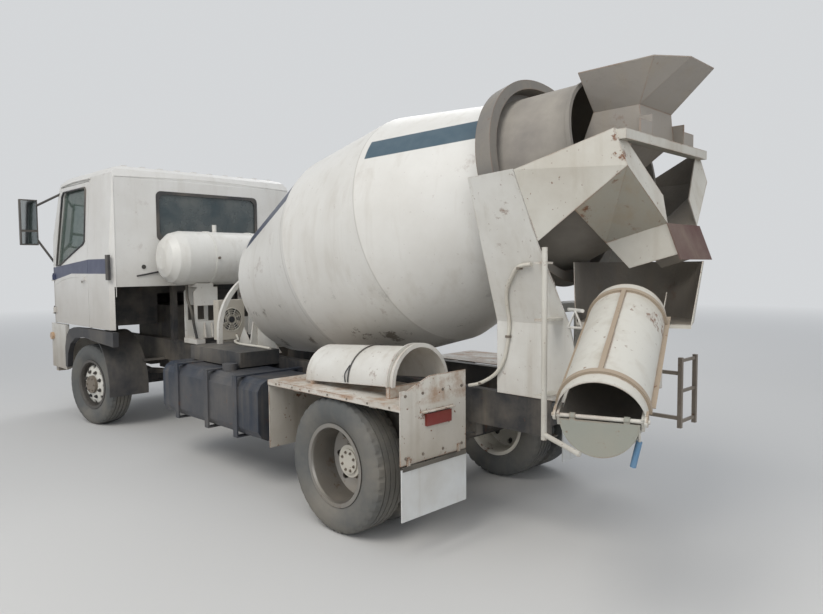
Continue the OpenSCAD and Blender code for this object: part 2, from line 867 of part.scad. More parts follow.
module front_pedestal() {
  truck() color([0.86, 0.85, 0.82]) {
    difference() {
      wall([[-345, rail_top], [345, rail_top], [300, 1180], [260, 1520], [200, 1640], [-200, 1640],
        [-260, 1520],
        [-300, 1180]], 2160, 2180);
      wall([[-190, 1130], [190, 1130], [220, 980], [-220, 980]], 2150, 2190);
    }
    both()
      slab([[2180, rail_top], [2285, rail_top], [2285, 990], [2200, 1300], [2180, 1300]], 250, 262);
    both()
      slab([[1780, rail_top], [2160, rail_top], [2160, 1240], [2140, 1240]], 250, 262);
    intersection() {
      difference() {
        rod_x(hoop_r, 0, hoop_z, 2285, 2325);
        rod_x(hoop_r - 40, 0, hoop_z, 2280, 2330);
      }
      bx(2280, 2330, -700, 700, hoop_z, 1800);
    }
    both()
      bx(2285, 2325, hoop_r - 40, hoop_r, rail_top + 70, hoop_z);
    bx(2285, 2325, -hoop_r, 40 - hoop_r, 955, rail_top + 70);
    bx(2270, 2340, -hoop_r, rail_out, rail_top, 955);
    on_drum()
      translate([0, 0, -drum_l0 - 130.3 - 120])
        cylinder(r = 135, h = 120);
    intersection() {
      on_drum()
        translate([0, 0, -drum_l0 - 500])
          cylinder(r = 135, h = 260);
      bx(2180, 2300, -200, 200, 1000, 2000);
    }
    intersection() {
      on_drum()
        translate([0, 0, -drum_l0 - 400])
          cylinder(r = 135, h = 160);
      bx(1900, 2160, -200, 200, 1000, 2000);
    }
  }
}

module oil_cooler() {
  truck() color([0.62, 0.60, 0.55])
    translate([cool_x, cool_y, 0]) {
      bx(-20, 20, -140, 110, rail_top, 985);
      difference() {
        bx(-50, 50, -140, 140, 985, 1370);
        translate([-60, 0, 1178])
          rotate([0, 90, 0])
            cylinder(r = 115, h = 40);
      }
      translate([-44, 0, 1178])
        rotate([0, 90, 0])
          cylinder(r = 50, h = 26);
    }
}

module water_tank() {
  truck() color([0.91, 0.90, 0.87]) {
    translate([3150, 0, 1785])
      rotate([-90, 0, 0])
        rotate_extrude()
          polygon([
            [0, -730], [110, -722], [190, -690], [245, -630], [271, -540], [271, 540], [245, 630],
              [190, 690],
            [110, 722], [0, 730]
          ]);
    both()
      difference() {
        rod_y(277, 3150, 1785, 225, 265);
        rod_y(270, 3150, 1785, 220, 270);
      }
    translate([3150, 140, 2040])
      cylinder(r = 22, h = 90);
  }
}

module tank_stand() {
  truck() color([0.85, 0.84, 0.80])
    both() {
      for (x = [3040, 3248])
        difference() {
          wall([[180, 965], [440, 965], [440, 1440], [400, 1490], [180, 1490]], x, x + 12);
          wall([[222, 1145], [406, 1145], [406, 1300], [222, 1300]], x - 5, x + 20);
        }
      for (y = [250, 330])
        slab([[3004, 975], [3040, 975], [3040, 1125], [3028, 1125]], y, y + 8);
      bx(2990, 3270, rail_out - 70, rail_out + 20, rail_top, 965);
      difference() {
        bx(3040, 3260, 225, 417, 1490, 1530);
        rod_y(277 + k, 3150, 1785, 200, 430);
      }
    }
}

function leg_y(z) = rail_out + 10 + max(0, z - 1350) * 0.33;

// side plate of the rear pedestal, t thick, between the heights z0 and z1
module leg_plate(t, front, rear_low, rear_high) {
  intersection() {
    wall([
      [rail_out + 10 - t, rail_top], [rail_out + 10, rail_top], [leg_y(1350), 1350], [leg_y(2200), 2200],
      [leg_y(2200) - t, 2200], [leg_y(1350) - t, 1350]
    ], -1500, -700);
    slab([[front, rail_top], [front, 2185], [-1118, 2200], [rear_high, 1815], [rear_low, 1150],
      [rear_low, rail_top]],
      300, 900);
  }
}

module roller_pins() {
  on_drum()
    for (w = [-1, 1])
      rotate([0, 0, 180 + w * roll_a])
        translate([ring_r + roll_r + k, 0, ring_l + ring_w / 2]) {
          translate([0, 0, -roll_w / 2 - 34])
            cylinder(r = 25, h = roll_w + 68);
          for (e = [-1, 1])
            translate([-30, -40, e * (roll_w / 2 + 22) - 6])
              cube([165, 80, 12]);
        }
}

module rear_pedestal() {
  truck() color([0.86, 0.85, 0.82]) {
    both() {
      leg_plate(8, -800, -1350, -1189);
      bx(rail_rear, -800, rail_out - rail_w, rail_out + 10, rail_top, rail_top + 10);
      bx(rail_rear + 10, -1120, rail_out - rail_w, rail_out + 2, rail_top, 1500);
    }
    bx(-1310, -1285, -rail_out, rail_out, rail_top, 1200);
    bx(-1285, rail_rear + 10, -rail_out, rail_out, rail_top, rail_top + 20);
    bx(-970, -810, -(leg_y(1400) - 4), leg_y(1400) - 4, 1385, 1440);
    difference() {
      bx(piv_x - 90, -1310, -130, 130, 960, 1080);
      translate([piv_x, 0, 900])
        cylinder(r = 50 + 0.05, h = 300);
    }
    roller_pins();
  }
}

// corners of the funnel on the left side
c_top_f = [-1121, 710, 2196];
c_top_r = [-1602, 520, 2372];
c_low_r = [-1668, 500, 2180];
c_low_f = [-1192, 583, 1814];
c_mid = [-1395, 543, 1972];
c_in_r = [-1738, 190, 1900];
c_in_f = [-1395, 215, 1806];
c_lip_r = [-1800, 190, 1738];
c_lip_f = [-1530, 200, 1664];
c_win = [-1610, 470, 2366];
c_nose = [-1700, 165, 2050];

module collector() {
  truck() color([0.80, 0.77, 0.70]) {
    both() {
      plate([c_top_f, c_top_r, c_low_r, c_low_f], 6);
      plate([c_top_r, c_win, c_nose, c_in_r, c_low_r], 6);
      plate([c_low_r, c_in_r, c_in_f, c_mid], 6);
      plate([c_in_r, c_lip_r, c_lip_f, c_in_f], 6);
    }
    bx(-1660, -1600, -505, 505, 2315, 2365);
  }
}

module charge_hopper() {
  truck() color([0.48, 0.46, 0.43]) {
    difference() {
      hull() {
        translate([0, 0, 2747])
          linear_extrude(height = 5)
            polygon([[-1268, -312], [-1708, -312], [-1830, -150], [-1830, 150], [-1708, 312],
              [-1268, 312]]);
        bx(-1575, -1300, -195, 195, 2545, 2550);
      }
      hull() {
        translate([0, 0, 2748])
          linear_extrude(height = 5)
            polygon([[-1274, -306], [-1706, -306], [-1824, -148], [-1824, 148], [-1706, 306],
              [-1274, 306]]);
        bx(-1569, -1306, -189, 189, 2544, 2549);
      }
    }
    difference() {
      slab([[-1575, 2549], [-1590, 2380], [-1420, 2260], [-1180, 2200], [-1170, 2230],
        [-1300, 2549]], -195, 195);
      slab([[-1569, 2560], [-1584, 2386], [-1420, 2268], [-1160, 2202], [-1160, 2240],
        [-1294, 2560]], -189, 189);
    }
    both() {
      bx(-1650, -1575, 195, 203, 2365, 2480);
      bx(-1650, -1610, 203, 330, 2365, 2373);
      bx(-1650, -1642, 195, 330, 2365, 2440);
    }
  }
}

// places children at the parked chute, X down along the chute, zero over the pivot
module on_chute() {
  translate([piv_x, 0, luff_z])
    rotate([0, 0, chute_az])
      rotate([0, chute_slope, 0])
        translate([0, 0, chute_h])
          children();
}

module rear_ladder() {
  truck() color([0.11, 0.10, 0.10]) {
    for (y = [-640, -425])
      bx(-1575, -1550, y, y + 25, 671, 1110);
    for (z = [700, 890, 1080])
      bx(-1570, -1555, -620, -420, z, z + 18);
    bx(-1550, -1310, -424, -404, 1000, 1022);
    bx(-1550, rail_rear, -424, -404, 720, 742);
  }
}

module chute_swivel() {
  truck() color([0.50, 0.48, 0.44]) {
    translate([piv_x, 0, 950])
      cylinder(r = 50, h = 190);
    translate([piv_x, 0, 1080 + k])
      cylinder(r = 75, h = 25);
    translate([piv_x, 0, 0])
      rotate([0, 0, chute_az]) {
        bx(-45, 45, -88, 88, 1110, 1140);
        for (e = [-1, 1])
          slab([
            [-45, 1112], [45, 1112], [lift_x + 25, lift_z - 25], [lift_x + 25, lift_z + 20],
              [lift_x - 30, lift_z + 20],
            [80, 1230], [80, bowl_f], [-200, bowl_f], [-200, 1330], [-45, 1180]
          ], e * 80 - 8, e * 80 + 8);
        rod_y(lift_pin, lift_x, lift_z, -105, 105);
      }
  }
}

module trough(r, l) {
  difference() {
    rotate([0, 90, 0])
      cylinder(r = r, h = l);
    translate([-1, 0, 0])
      rotate([0, 90, 0])
        cylinder(r = r - chute_t, h = l + 2);
    translate([-2, -r - 1, 0])
      cube([l + 4, 2 * r + 2, r + 2]);
  }
}

// height of the chute's plate above its lift lugs

// half profile of the bowl at the chute's head
function lug_top(x) = chute_z - sqrt(pow(chute_r - 1,
  2) - 96 * 96) / cos(chute_slope) - x * tan(chute_slope);

bowl_shell = [
  [0, bowl_f], [bowl_r, bowl_f], [scoop_r, scoop_z], [scoop_r - 4, scoop_z],
    [bowl_r - 4, bowl_f + 4], [0, bowl_f + 4]
];

module bowl_cut() {
  slab([[130, scoop_z + 5], [240, 1480], [290, 1300], [700, 1300], [700, scoop_z + 5]], -500, 500);
}

module scoop() {
  difference() {
    union() {
      difference() {
        rotate_extrude()
          polygon(bowl_shell);
        bx(0, 500, -500, 500, 1300, 1900);
      }
      wall(bowl_shell, 0, 330);
      wall([for (p = bowl_shell) [-p[0], p[1]]], 0, 330);
    }
    bowl_cut();
  }
}

module chute_bowl() {
  truck() color([0.55, 0.53, 0.49])
    difference() {
      translate([piv_x, 0, 0])
        rotate([0, 0, chute_az]) {
          scoop();
          both()
            bx(262, 282, chute_r + 10, bowl_r - 2, bowl_f - 16, bowl_f + 2);
        }
      translate([piv_x, 0, 0])
        rotate([0, 0, chute_az])
          bx(bowl_in, 400, -chute_r - 8, chute_r + 8, bowl_f - 5, bowl_f + 10);
    }
}

module main_chute() {
  truck() color([0.55, 0.53, 0.49]) {
    difference() {
      on_chute()
        translate([-bowl_in, 0, 0])
          trough(chute_r, chute_l + bowl_in);
      translate([piv_x, 0, 0])
        rotate([0, 0, chute_az])
          bx(-500, trough_in, -500, 500, 1200, 1900);
    }
    on_chute() {
      for (e = [-1, 1])
        translate([chute_l - 60, e * (chute_r + 2.5) - 6, -30])
          cube([76, 12, 30 + fold_z + 14]);
      translate([fold_x, -ext_r - 12, fold_z])
        rotate([-90, 0, 0])
          cylinder(r = 9, h = 2 * ext_r + 24);
    }
    translate([piv_x, 0, 0])
      rotate([0, 0, chute_az])
        for (e = [-1, 1])
          difference() {
            slab([
              [lift_x - 25, lift_z - 25], [lift_x + 25, lift_z - 25], [lift_x + 25, lug_top(lift_x + 25)],
              [lift_x - 25, lug_top(lift_x - 25)]
            ], e * 96 - 6, e * 96 + 6);
            rod_y(lift_pin + 0.05, lift_x, lift_z, -200, 200);
          }
  }
}

// round plate that closes the chute's low end, hung from the rod
module chute_flap() {
  truck() color([0.70, 0.68, 0.62])
    on_chute()
      translate([fold_x, 0, fold_z])
        rotate([0, -chute_slope, 0]) {
          difference() {
            translate([10, 0, 0])
              rotate([0, 90, 0])
                cylinder(r = chute_r - 5, h = 5);
            translate([0, -chute_r, -12])
              cube([30, 2 * chute_r, chute_r + 20]);
          }
          for (y = [-110, 110])
            difference() {
              union() {
                translate([0, y - 12, 0])
                  rotate([-90, 0, 0])
                    cylinder(r = 15, h = 24);
                translate([0, y - 12, -40])
                  cube([15, 24, 32]);
              }
              translate([0, y - 20, 0])
                rotate([-90, 0, 0])
                  cylinder(r = 9 + 0.05, h = 40);
            }
        }
}

module chute_extension() {
  truck() color([0.72, 0.68, 0.60])
    on_chute() {
      translate([chute_l - ext_l, 0, 0])
        mirror([0, 0, 1])
          trough(ext_r, ext_l - 3);
      for (x = [chute_l - ext_l + band_in, chute_l - band_in - band_w])
        difference() {
          translate([x, 0, 0])
            rotate([0, 90, 0])
              cylinder(r = ext_r + band_h, h = band_w);
          translate([x - 1, 0, 0])
            rotate([0, 90, 0])
              cylinder(r = ext_r - chute_t, h = band_w + 2);
          translate([x - 2, -400, -400])
            cube([band_w + 4, 800, 400]);
        }
      translate([chute_l - ext_l + band_in, -10, ext_r - 3])
        cube([ext_l - 2 * band_in, 20, 15]);
      for (e = [-1, 1])
        translate([chute_l - ext_l + 4, e * (ext_r + 10) - 12, 0])
          cube([ext_l - 110, 24, 4]);
      for (e = [-1, 1])
        difference() {
          union() {
            translate([fold_x, e * (ext_r - 2) - 6, fold_z])
              rotate([-90, 0, 0])
                cylinder(r = 22, h = 12);
            translate([fold_x - 40, e * (ext_r - 2) - 6, fold_z - 15])
              cube([35, 12, 40]);
          }
          translate([fold_x, e * (ext_r - 2) - 8, fold_z])
            rotate([-90, 0, 0])
              cylinder(r = 9 + 0.05, h = 16);
        }
    }
}

module spare_chute() {
  truck() color([0.86, 0.84, 0.79])
    translate([spare_x, 765, spare_z])
      rotate([0, spare_a, 0]) {
        mirror([0, 0, 1])
          trough(222, 880);
        for (x = [0, 50])
          difference() {
            translate([x, 0, 0])
              rotate([0, 90, 0])
                cylinder(r = 244, h = 12);
            translate([x - 1, 0, 0])
              rotate([0, 90, 0])
                cylinder(r = 220, h = 26);
            translate([x - 2, -400, -400])
              cube([28, 800, 400]);
          }
      }
}

module control_rod() {
  truck() color([0.62, 0.60, 0.55]) {
    translate([ctl_x, ctl_y, 735])
      cylinder(r = 16, h = 1045);
    for (z = [1690, 1380, 960])
      slab([[ctl_x - 14, z], [-1190, z], [-1190, z + 12], [ctl_x - 14, z + 12]], leg_y(z + 12), ctl_y);
    bar([ctl_x, ctl_y, 765], [ctl_x - 245, ctl_y + 40, 710], 14);
  }
}

module m() {
  mirror([0, 1, 0])
    children();
}

module door_left() {
  truck() door();
}

module door_right() {
  truck() m() door();
}

module door_glass_left() {
  truck() door_pane();
}

module door_glass_right() {
  truck() m() door_pane();
}

module knuckle_left() {
  truck() steered() knuckle();
}

module knuckle_right() {
  truck() steered_r() knuckle();
}

module tyre_front_left() {
  color([0.10, 0.10, 0.10])
    truck() steered() wheel_f_tyre();
}

module tyre_front_right() {
  color([0.10, 0.10, 0.10])
    truck() steered_r() wheel_f_tyre();
}

module rim_front_left() {
  color([0.85, 0.83, 0.78])
    truck() steered() wheel_f_rim();
}

module rim_front_right() {
  color([0.85, 0.83, 0.78])
    truck() steered_r() wheel_f_rim();
}

module tyres_rear() {
  translate([0, 0, tyre_r]) {
    tyre_one(twin_out);
    tyre_one(twin_in);
  }
}

module tyres_rear_left() {
  color([0.10, 0.10, 0.10])
    truck() tyres_rear();
}

module tyres_rear_right() {
  color([0.10, 0.10, 0.10])
    truck() m() tyres_rear();
}

module rims_rear_left() {
  color([0.80, 0.78, 0.72])
    truck() translate([0, 0, tyre_r]) rims_rear();
}

module rims_rear_right() {
  color([0.80, 0.78, 0.72])
    truck() m() translate([0, 0, tyre_r]) rims_rear();
}

module roller_left() {
  truck() roller();
}

module roller_right() {
  truck() m() roller();
}

frame();
front_axle();
rear_axle();
driveline();
fuel_tank();
side_boxes();
rear_fenders();
lamps();
rubber_flaps();
front_mudguards();
bumper();
water_tank();
tank_stand();
front_pedestal();
oil_cooler();
rear_pedestal();
collector();
charge_hopper();
spare_chute();
control_rod();
cab_shell();
cab_glass();
cab_interior();
steering_wheel();
mirrors();
cab_trim();
door_left();
door_right();
door_glass_left();
door_glass_right();
knuckle_left();
knuckle_right();
tyre_front_left();
tyre_front_right();
rim_front_left();
rim_front_right();
tyres_rear_left();
tyres_rear_right();
rims_rear_left();
rims_rear_right();
mixing_drum();
drum_neck();
drum_ring();
roller_left();
roller_right();
chute_swivel();
main_chute();
chute_extension();
chute_flap();
rear_ladder();
chute_bowl();
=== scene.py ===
import math
import bpy
from mathutils import Matrix, Vector


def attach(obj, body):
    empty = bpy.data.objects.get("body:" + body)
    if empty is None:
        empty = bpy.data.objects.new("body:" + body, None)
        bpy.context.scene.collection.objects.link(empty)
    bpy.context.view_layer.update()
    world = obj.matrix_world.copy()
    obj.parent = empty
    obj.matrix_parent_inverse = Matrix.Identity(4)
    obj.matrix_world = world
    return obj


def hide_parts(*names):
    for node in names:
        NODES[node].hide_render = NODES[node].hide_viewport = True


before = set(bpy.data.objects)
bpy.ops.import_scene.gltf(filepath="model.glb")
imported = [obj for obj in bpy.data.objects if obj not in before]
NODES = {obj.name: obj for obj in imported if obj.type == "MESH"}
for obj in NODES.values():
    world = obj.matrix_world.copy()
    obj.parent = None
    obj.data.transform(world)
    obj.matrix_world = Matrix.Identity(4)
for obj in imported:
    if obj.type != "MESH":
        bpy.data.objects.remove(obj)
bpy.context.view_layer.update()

SIDES = ((1, "left"), (-1, "right"))

# Places are given in metres from the ground under the rear axle, x forwards and y to the truck's left.
# The shared frame has its origin further forwards, so shared() moves them along x.
REAR_AXLE_X = -1.67581

# wheels, as in the CAD source; STUB is the way from a kingpin out to the middle of its tyre
WHEELBASE = 4.290
TYRE_R, TYRE_W, RIM_R = 0.433, 0.262, 0.262
KINGPIN_Y, STUB = 0.790, 0.140
TWIN_OUT, TWIN_IN = 0.964, 0.664
STEER = math.radians(9)


def shared(x, y, z):
    """A point given from the rear axle, in the shared frame."""
    return Vector((x + REAR_AXLE_X, y, z))


def span(side, near, far):
    """From near to far off the centre line on one side, the lower y first."""
    return sorted((side * near, side * far))


# ---------------------------------------------------------------- materials
class Nodes:
    """A material with short ways to add nodes. Numbers and sockets can stand in for each other."""

    def __init__(self, name, rough=0.5, metal=0.0):
        self.material = bpy.data.materials.new(name)
        self.material.use_nodes = True
        self.tree = self.material.node_tree
        self.shader = self.tree.nodes["Principled BSDF"]
        self.shader.inputs["Roughness"].default_value = rough
        self.shader.inputs["Metallic"].default_value = metal
        self.place = self.tree.nodes.new("ShaderNodeTexCoord").outputs["Object"]

    def link(self, source, socket):
        self.tree.links.new(source, socket)

    def put(self, socket, v):
        """Links a socket to v, or sets it where v is a number or a colour."""
        if isinstance(v, bpy.types.NodeSocket):
            self.link(v, socket)
        else:
            socket.default_value = (*v, 1.0) if isinstance(v, tuple) else v

    def calc(self, op, *values, clamp=False):
        n = self.tree.nodes.new("ShaderNodeMath")
        n.operation = op
        n.use_clamp = clamp
        for socket, v in zip(n.inputs, values):
            self.put(socket, v)
        return n.outputs[0]

    def add(self, a, b, clamp=False):
        return self.calc("ADD", a, b, clamp=clamp)

    def sub(self, a, b):
        return self.calc("SUBTRACT", a, b)

    def mul(self, a, b, clamp=False):
        return self.calc("MULTIPLY", a, b, clamp=clamp)

    def inverse(self, v):
        return self.sub(1.0, v)

    def distance(self, a, b):
        return self.calc("SQRT", self.add(self.mul(a, a), self.mul(b, b)))

    def xyz(self):
        n = self.tree.nodes.new("ShaderNodeSeparateXYZ")
        self.link(self.place, n.inputs[0])
        return n.outputs

    def scaled(self, factors):
        n = self.tree.nodes.new("ShaderNodeMapping")
        self.link(self.place, n.inputs[0])
        n.inputs["Scale"].default_value = factors
        return n.outputs[0]

    def noise(self, scale, detail=4.0, rough=0.6, at=None):
        n = self.tree.nodes.new("ShaderNodeTexNoise")
        self.link(self.place if at is None else at, n.inputs["Vector"])
        n.inputs["Scale"].default_value = scale
        n.inputs["Detail"].default_value = detail
        n.inputs["Roughness"].default_value = rough
        return n.outputs["Fac"]

    def step(self, v, start, end, top=1.0):
        """0 where v is at start, rising to top where it is at end."""
        n = self.tree.nodes.new("ShaderNodeMapRange")
        n.clamp = True
        self.put(n.inputs["Value"], v)
        n.inputs["From Min"].default_value = start
        n.inputs["From Max"].default_value = end
        n.inputs["To Max"].default_value = top
        return n.outputs[0]

    def edges(self, width):
        """1 along the sharp edges of a mesh, 0 on its flats."""
        rounded_edge = self.tree.nodes.new("ShaderNodeBevel")
        rounded_edge.samples = 4
        rounded_edge.inputs["Radius"].default_value = width
        surface = self.tree.nodes.new("ShaderNodeNewGeometry")
        dot = self.tree.nodes.new("ShaderNodeVectorMath")
        dot.operation = "DOT_PRODUCT"
        self.link(rounded_edge.outputs[0], dot.inputs[0])
        self.link(surface.outputs["Normal"], dot.inputs[1])
        return self.step(dot.outputs["Value"], 0.995, 0.90)

    def mix(self, fac, a, b):
        """Colour a where fac is 0, b where it is 1."""
        n = self.tree.nodes.new("ShaderNodeMix")
        n.data_type = "RGBA"
        self.put(n.inputs["Factor"], fac)
        for socket, v in zip([i for i in n.inputs if i.type == "RGBA"], (a, b)):
            self.put(socket, v)
        return [o for o in n.outputs if o.type == "RGBA"][0]

    def done(self, colour, bump=0.2, bump_scale=30.0, height=0.002, rough=None):
        """Puts the colour and a fine unevenness on the surface and returns the material."""
        self.put(self.shader.inputs["Base Color"], colour)
        if rough is not None:
            self.link(rough, self.shader.inputs["Roughness"])
        n = self.tree.nodes.new("ShaderNodeBump")
        n.inputs["Strength"].default_value = bump
        n.inputs["Distance"].default_value = height
        self.link(self.noise(bump_scale, 5.0), n.inputs["Height"])
        self.link(n.outputs[0], self.shader.inputs["Normal"])
        return self.material


DUST = (0.36, 0.31, 0.24)
STREAK = (0.33, 0.27, 0.19)
SPLASH = (0.25, 0.20, 0.14)
WORN_EDGE = (0.24, 0.115, 0.055)
RUST = (0.16, 0.062, 0.025)


def weather(n, colour, dirt=0.35, rust=0.4, low=None, streak=0.3, rust_scale=7.0, worn=0.0):
    """Adds dust patches, rain streaks, splashes, rusty edges, rust blots and rust spots to a colour.

    low gives the height where the splashes are full, the height where they end, and their strength.
    """
    patch = n.step(n.noise(1.6, 6.0, 0.62), 0.42, 0.72, dirt)
    colour = n.mix(patch, colour, DUST)
    run = n.noise(1.0, 5.0, 0.6, at=n.scaled((9.0, 9.0, 0.7)))
    colour = n.mix(n.step(run, 0.52, 0.78, streak), colour, STREAK)
    if low:
        full, end, strength = low
        ragged = 0.3
        height = n.sub(n.xyz()[2], n.mul(n.noise(4.0), ragged))
        colour = n.mix(n.step(height, end - ragged / 2, full - ragged / 2, strength), colour, SPLASH)
    if worn:
        edge = n.mul(n.edges(0.012), n.step(n.noise(5.0, 6.0, 0.65), 0.42, 0.58, worn))
        colour = n.mix(edge, colour, WORN_EDGE)
    blot = n.mul(n.step(n.noise(rust_scale, 8.0, 0.7), 0.60, 0.68),
                 n.step(n.noise(1.3, 3.0), 0.45, 0.60, rust * 2.2), clamp=True)
    colour = n.mix(blot, colour, RUST)
    spots = n.mul(n.step(n.noise(38.0, 2.0, 0.5), 0.70, 0.74), rust)
    return n.mix(spots, colour, RUST)


def paint(name, colour, rough=0.45, bump=0.15, bump_scale=12.0, height=0.003, metal=0.0, **wear):
    """A weathered surface of one colour; wear goes to weather()."""
    n = Nodes(name, rough, metal)
    return n.done(weather(n, colour, **wear), bump, bump_scale, height)


def glass(name, colour, alpha):
    """Tinted pane, more opaque where it is dusty."""
    n = Nodes(name, 0.06)
    dusty = n.step(n.noise(3.0, 6.0), 0.35, 0.8, 0.35)
    n.link(n.add(n.mul(dusty, 0.6), alpha, clamp=True), n.shader.inputs["Alpha"])
    n.shader.inputs["Specular IOR Level"].default_value = 0.6
    return n.done(n.mix(dusty, colour, (0.34, 0.31, 0.26)), 0.02, 3.0, 0.001)


# the drum's axis falls to the front; DRUM_KNEE is its point at the seam of belly and rear cone
DRUM_TILT = math.radians(14)
DRUM_KNEE = shared(0.036, 0, 1.971)
FRONT_SEAM, REAR_SEAM = -0.86, 0.0
STRIPE_TURN, STRIPE_HALF = math.radians(53.5), 0.080


def drum_paint():
    """White drum: stripes along both cones, the front one painted darker as painted shade; seams; scuffs low
    down and the colour darker and browner towards the bottom; mortar from the neck on; painted shade in the
    mouth.
    """
    n = Nodes("drum_paint", 0.42)
    x, y, z = n.xyz()
    dx, dz = n.sub(x, DRUM_KNEE.x), n.sub(z, DRUM_KNEE.z)
    cos, sin = math.cos(DRUM_TILT), math.sin(DRUM_TILT)
    along = n.add(n.mul(dx, -cos), n.mul(dz, sin))
    up = n.add(n.mul(dx, sin), n.mul(dz, cos))
    across = n.mul(n.sub(n.calc("ARCTAN2", y, up), STRIPE_TURN), n.distance(y, up))
    in_width = n.inverse(n.step(n.calc("ABSOLUTE", across), STRIPE_HALF, STRIPE_HALF + 0.004))

    def stripe(start, end):
        soft = 0.006
        in_length = n.mul(n.step(along, start, start + soft), n.inverse(n.step(along, end, end + soft)))
        return n.mul(in_width, in_length)

    c = weather(n, (0.70, 0.685, 0.645), dirt=0.22, rust=0.16, streak=0.25, rust_scale=5.0)
    for seam in (FRONT_SEAM, REAR_SEAM):
        off = n.calc("ABSOLUTE", n.sub(along, seam))
        c = n.mix(n.step(off, 0.007, 0.003, 0.35), c, (0.30, 0.27, 0.23))
    scuff = n.mul(n.step(n.noise(3.2, 8.0, 0.75), 0.60, 0.64), n.step(z, 1.55, 1.25))
    c = n.mix(scuff, c, (0.05, 0.045, 0.04))
    # the colour turns darker and browner towards the bottom of the drum
    belly = n.step(n.add(z, n.mul(n.noise(2.0), 0.25)), 1.75, 1.25, 0.45)
    c = n.mix(belly, c, (0.42, 0.36, 0.28))
    fade = n.step(n.noise(14.0, 6.0), 0.35, 0.85, 0.25)
    c = n.mix(stripe(0.045, 0.93), c, n.mix(fade, (0.045, 0.085, 0.115), (0.16, 0.20, 0.22)))
    # the front stripe is the rear stripe's paint, given darker colours as painted shade
    c = n.mix(stripe(-1.78, FRONT_SEAM), c, n.mix(fade, (0.035, 0.045, 0.08), (0.12, 0.13, 0.16)))
    neck = n.step(n.add(along, n.mul(n.noise(5.0, 6.0), 0.08)), 0.905, 0.93)
    crust = n.mix(n.step(n.noise(3.0, 6.0), 0.35, 0.7), (0.34, 0.31, 0.265), (0.22, 0.20, 0.18))
    c = n.mix(neck, c, crust)
    # painted shade: the drum's lip and the inside of its mouth are darkened
    mouth_shade = n.step(along, 1.30, 1.36)
    c = n.mix(n.mul(mouth_shade, 0.35), c, (0.16, 0.15, 0.135))
    return n.done(c, 0.22, 9.0, 0.004, rough=n.add(0.42, n.mul(neck, 0.45)))


def cab_paint():
    """Cab white with the navy band round the sides, which drops towards the front."""
    n = Nodes("cab_banded", 0.35)
    x, y, z = n.xyz()
    c = weather(n, (0.72, 0.705, 0.67), dirt=0.22, rust=0.10, streak=0.18, low=(1.15, 1.75, 0.40))
    x = n.sub(x, REAR_AXLE_X)
    front = 5.26
    top = n.sub(1.78, n.mul(n.step(x, 4.10, front), 0.084))
    low = n.sub(1.63, n.mul(n.step(x, 4.62, front), 0.085))
    soft = 0.003
    band = n.mul(n.step(n.sub(z, low), 0.0, soft), n.inverse(n.step(n.sub(z, top), 0.0, soft)))
    band = n.mul(band, n.step(n.calc("ABSOLUTE", y), 1.045, 1.050))
    band = n.mul(band, n.step(x, 3.56, 3.565))
    navy = n.mix(n.step(n.noise(9.0), 0.3, 0.8, 0.4), (0.035, 0.045, 0.10), (0.14, 0.15, 0.20))
    return n.done(n.mix(band, c, navy), 0.06, 6.0, 0.003)


def front_rim():
    """White disc with a dark flange and hub, by the distance from the steered wheel's own axis."""
    n = Nodes("front_rim_paint", 0.5)
    cos, sin = math.cos(STEER), math.sin(STEER)
    x, y, z = n.xyz()
    side = n.calc("SIGN", y)
    dx = n.sub(x, n.add(WHEELBASE + REAR_AXLE_X, n.mul(side, -STUB * sin)))
    dy = n.sub(y, n.mul(side, KINGPIN_Y + STUB * cos))
    rad = n.distance(n.add(n.mul(dx, cos), n.mul(dy, sin)), n.sub(z, TYRE_R))
    c = weather(n, (0.72, 0.70, 0.64), dirt=0.45, rust=0.6, streak=0.2)
    flange = n.step(n.add(rad, n.mul(n.noise(9.0), 0.03)), 0.205, 0.222)
    c = n.mix(flange, c, (0.085, 0.078, 0.07))
    hub = n.step(rad, 0.100, 0.092)
    return n.done(n.mix(hub, c, (0.19, 0.16, 0.125)), 0.2, 20.0, 0.002)


def fender_paint():
    """Fender white with a wash of rust over its flat top."""
    n = Nodes("fender_paint", 0.6)
    c = weather(n, (0.66, 0.63, 0.57), dirt=0.55, rust=1.0, streak=0.5, worn=1.0, low=(0.55, 1.0, 0.5))
    on_top = n.step(n.xyz()[2], 0.875, 0.890)
    wash = n.mul(on_top, n.step(n.noise(6.0, 8.0, 0.7), 0.44, 0.62, 0.75))
    return n.done(n.mix(wash, c, (0.34, 0.19, 0.10)), 0.3, 14.0, 0.004)


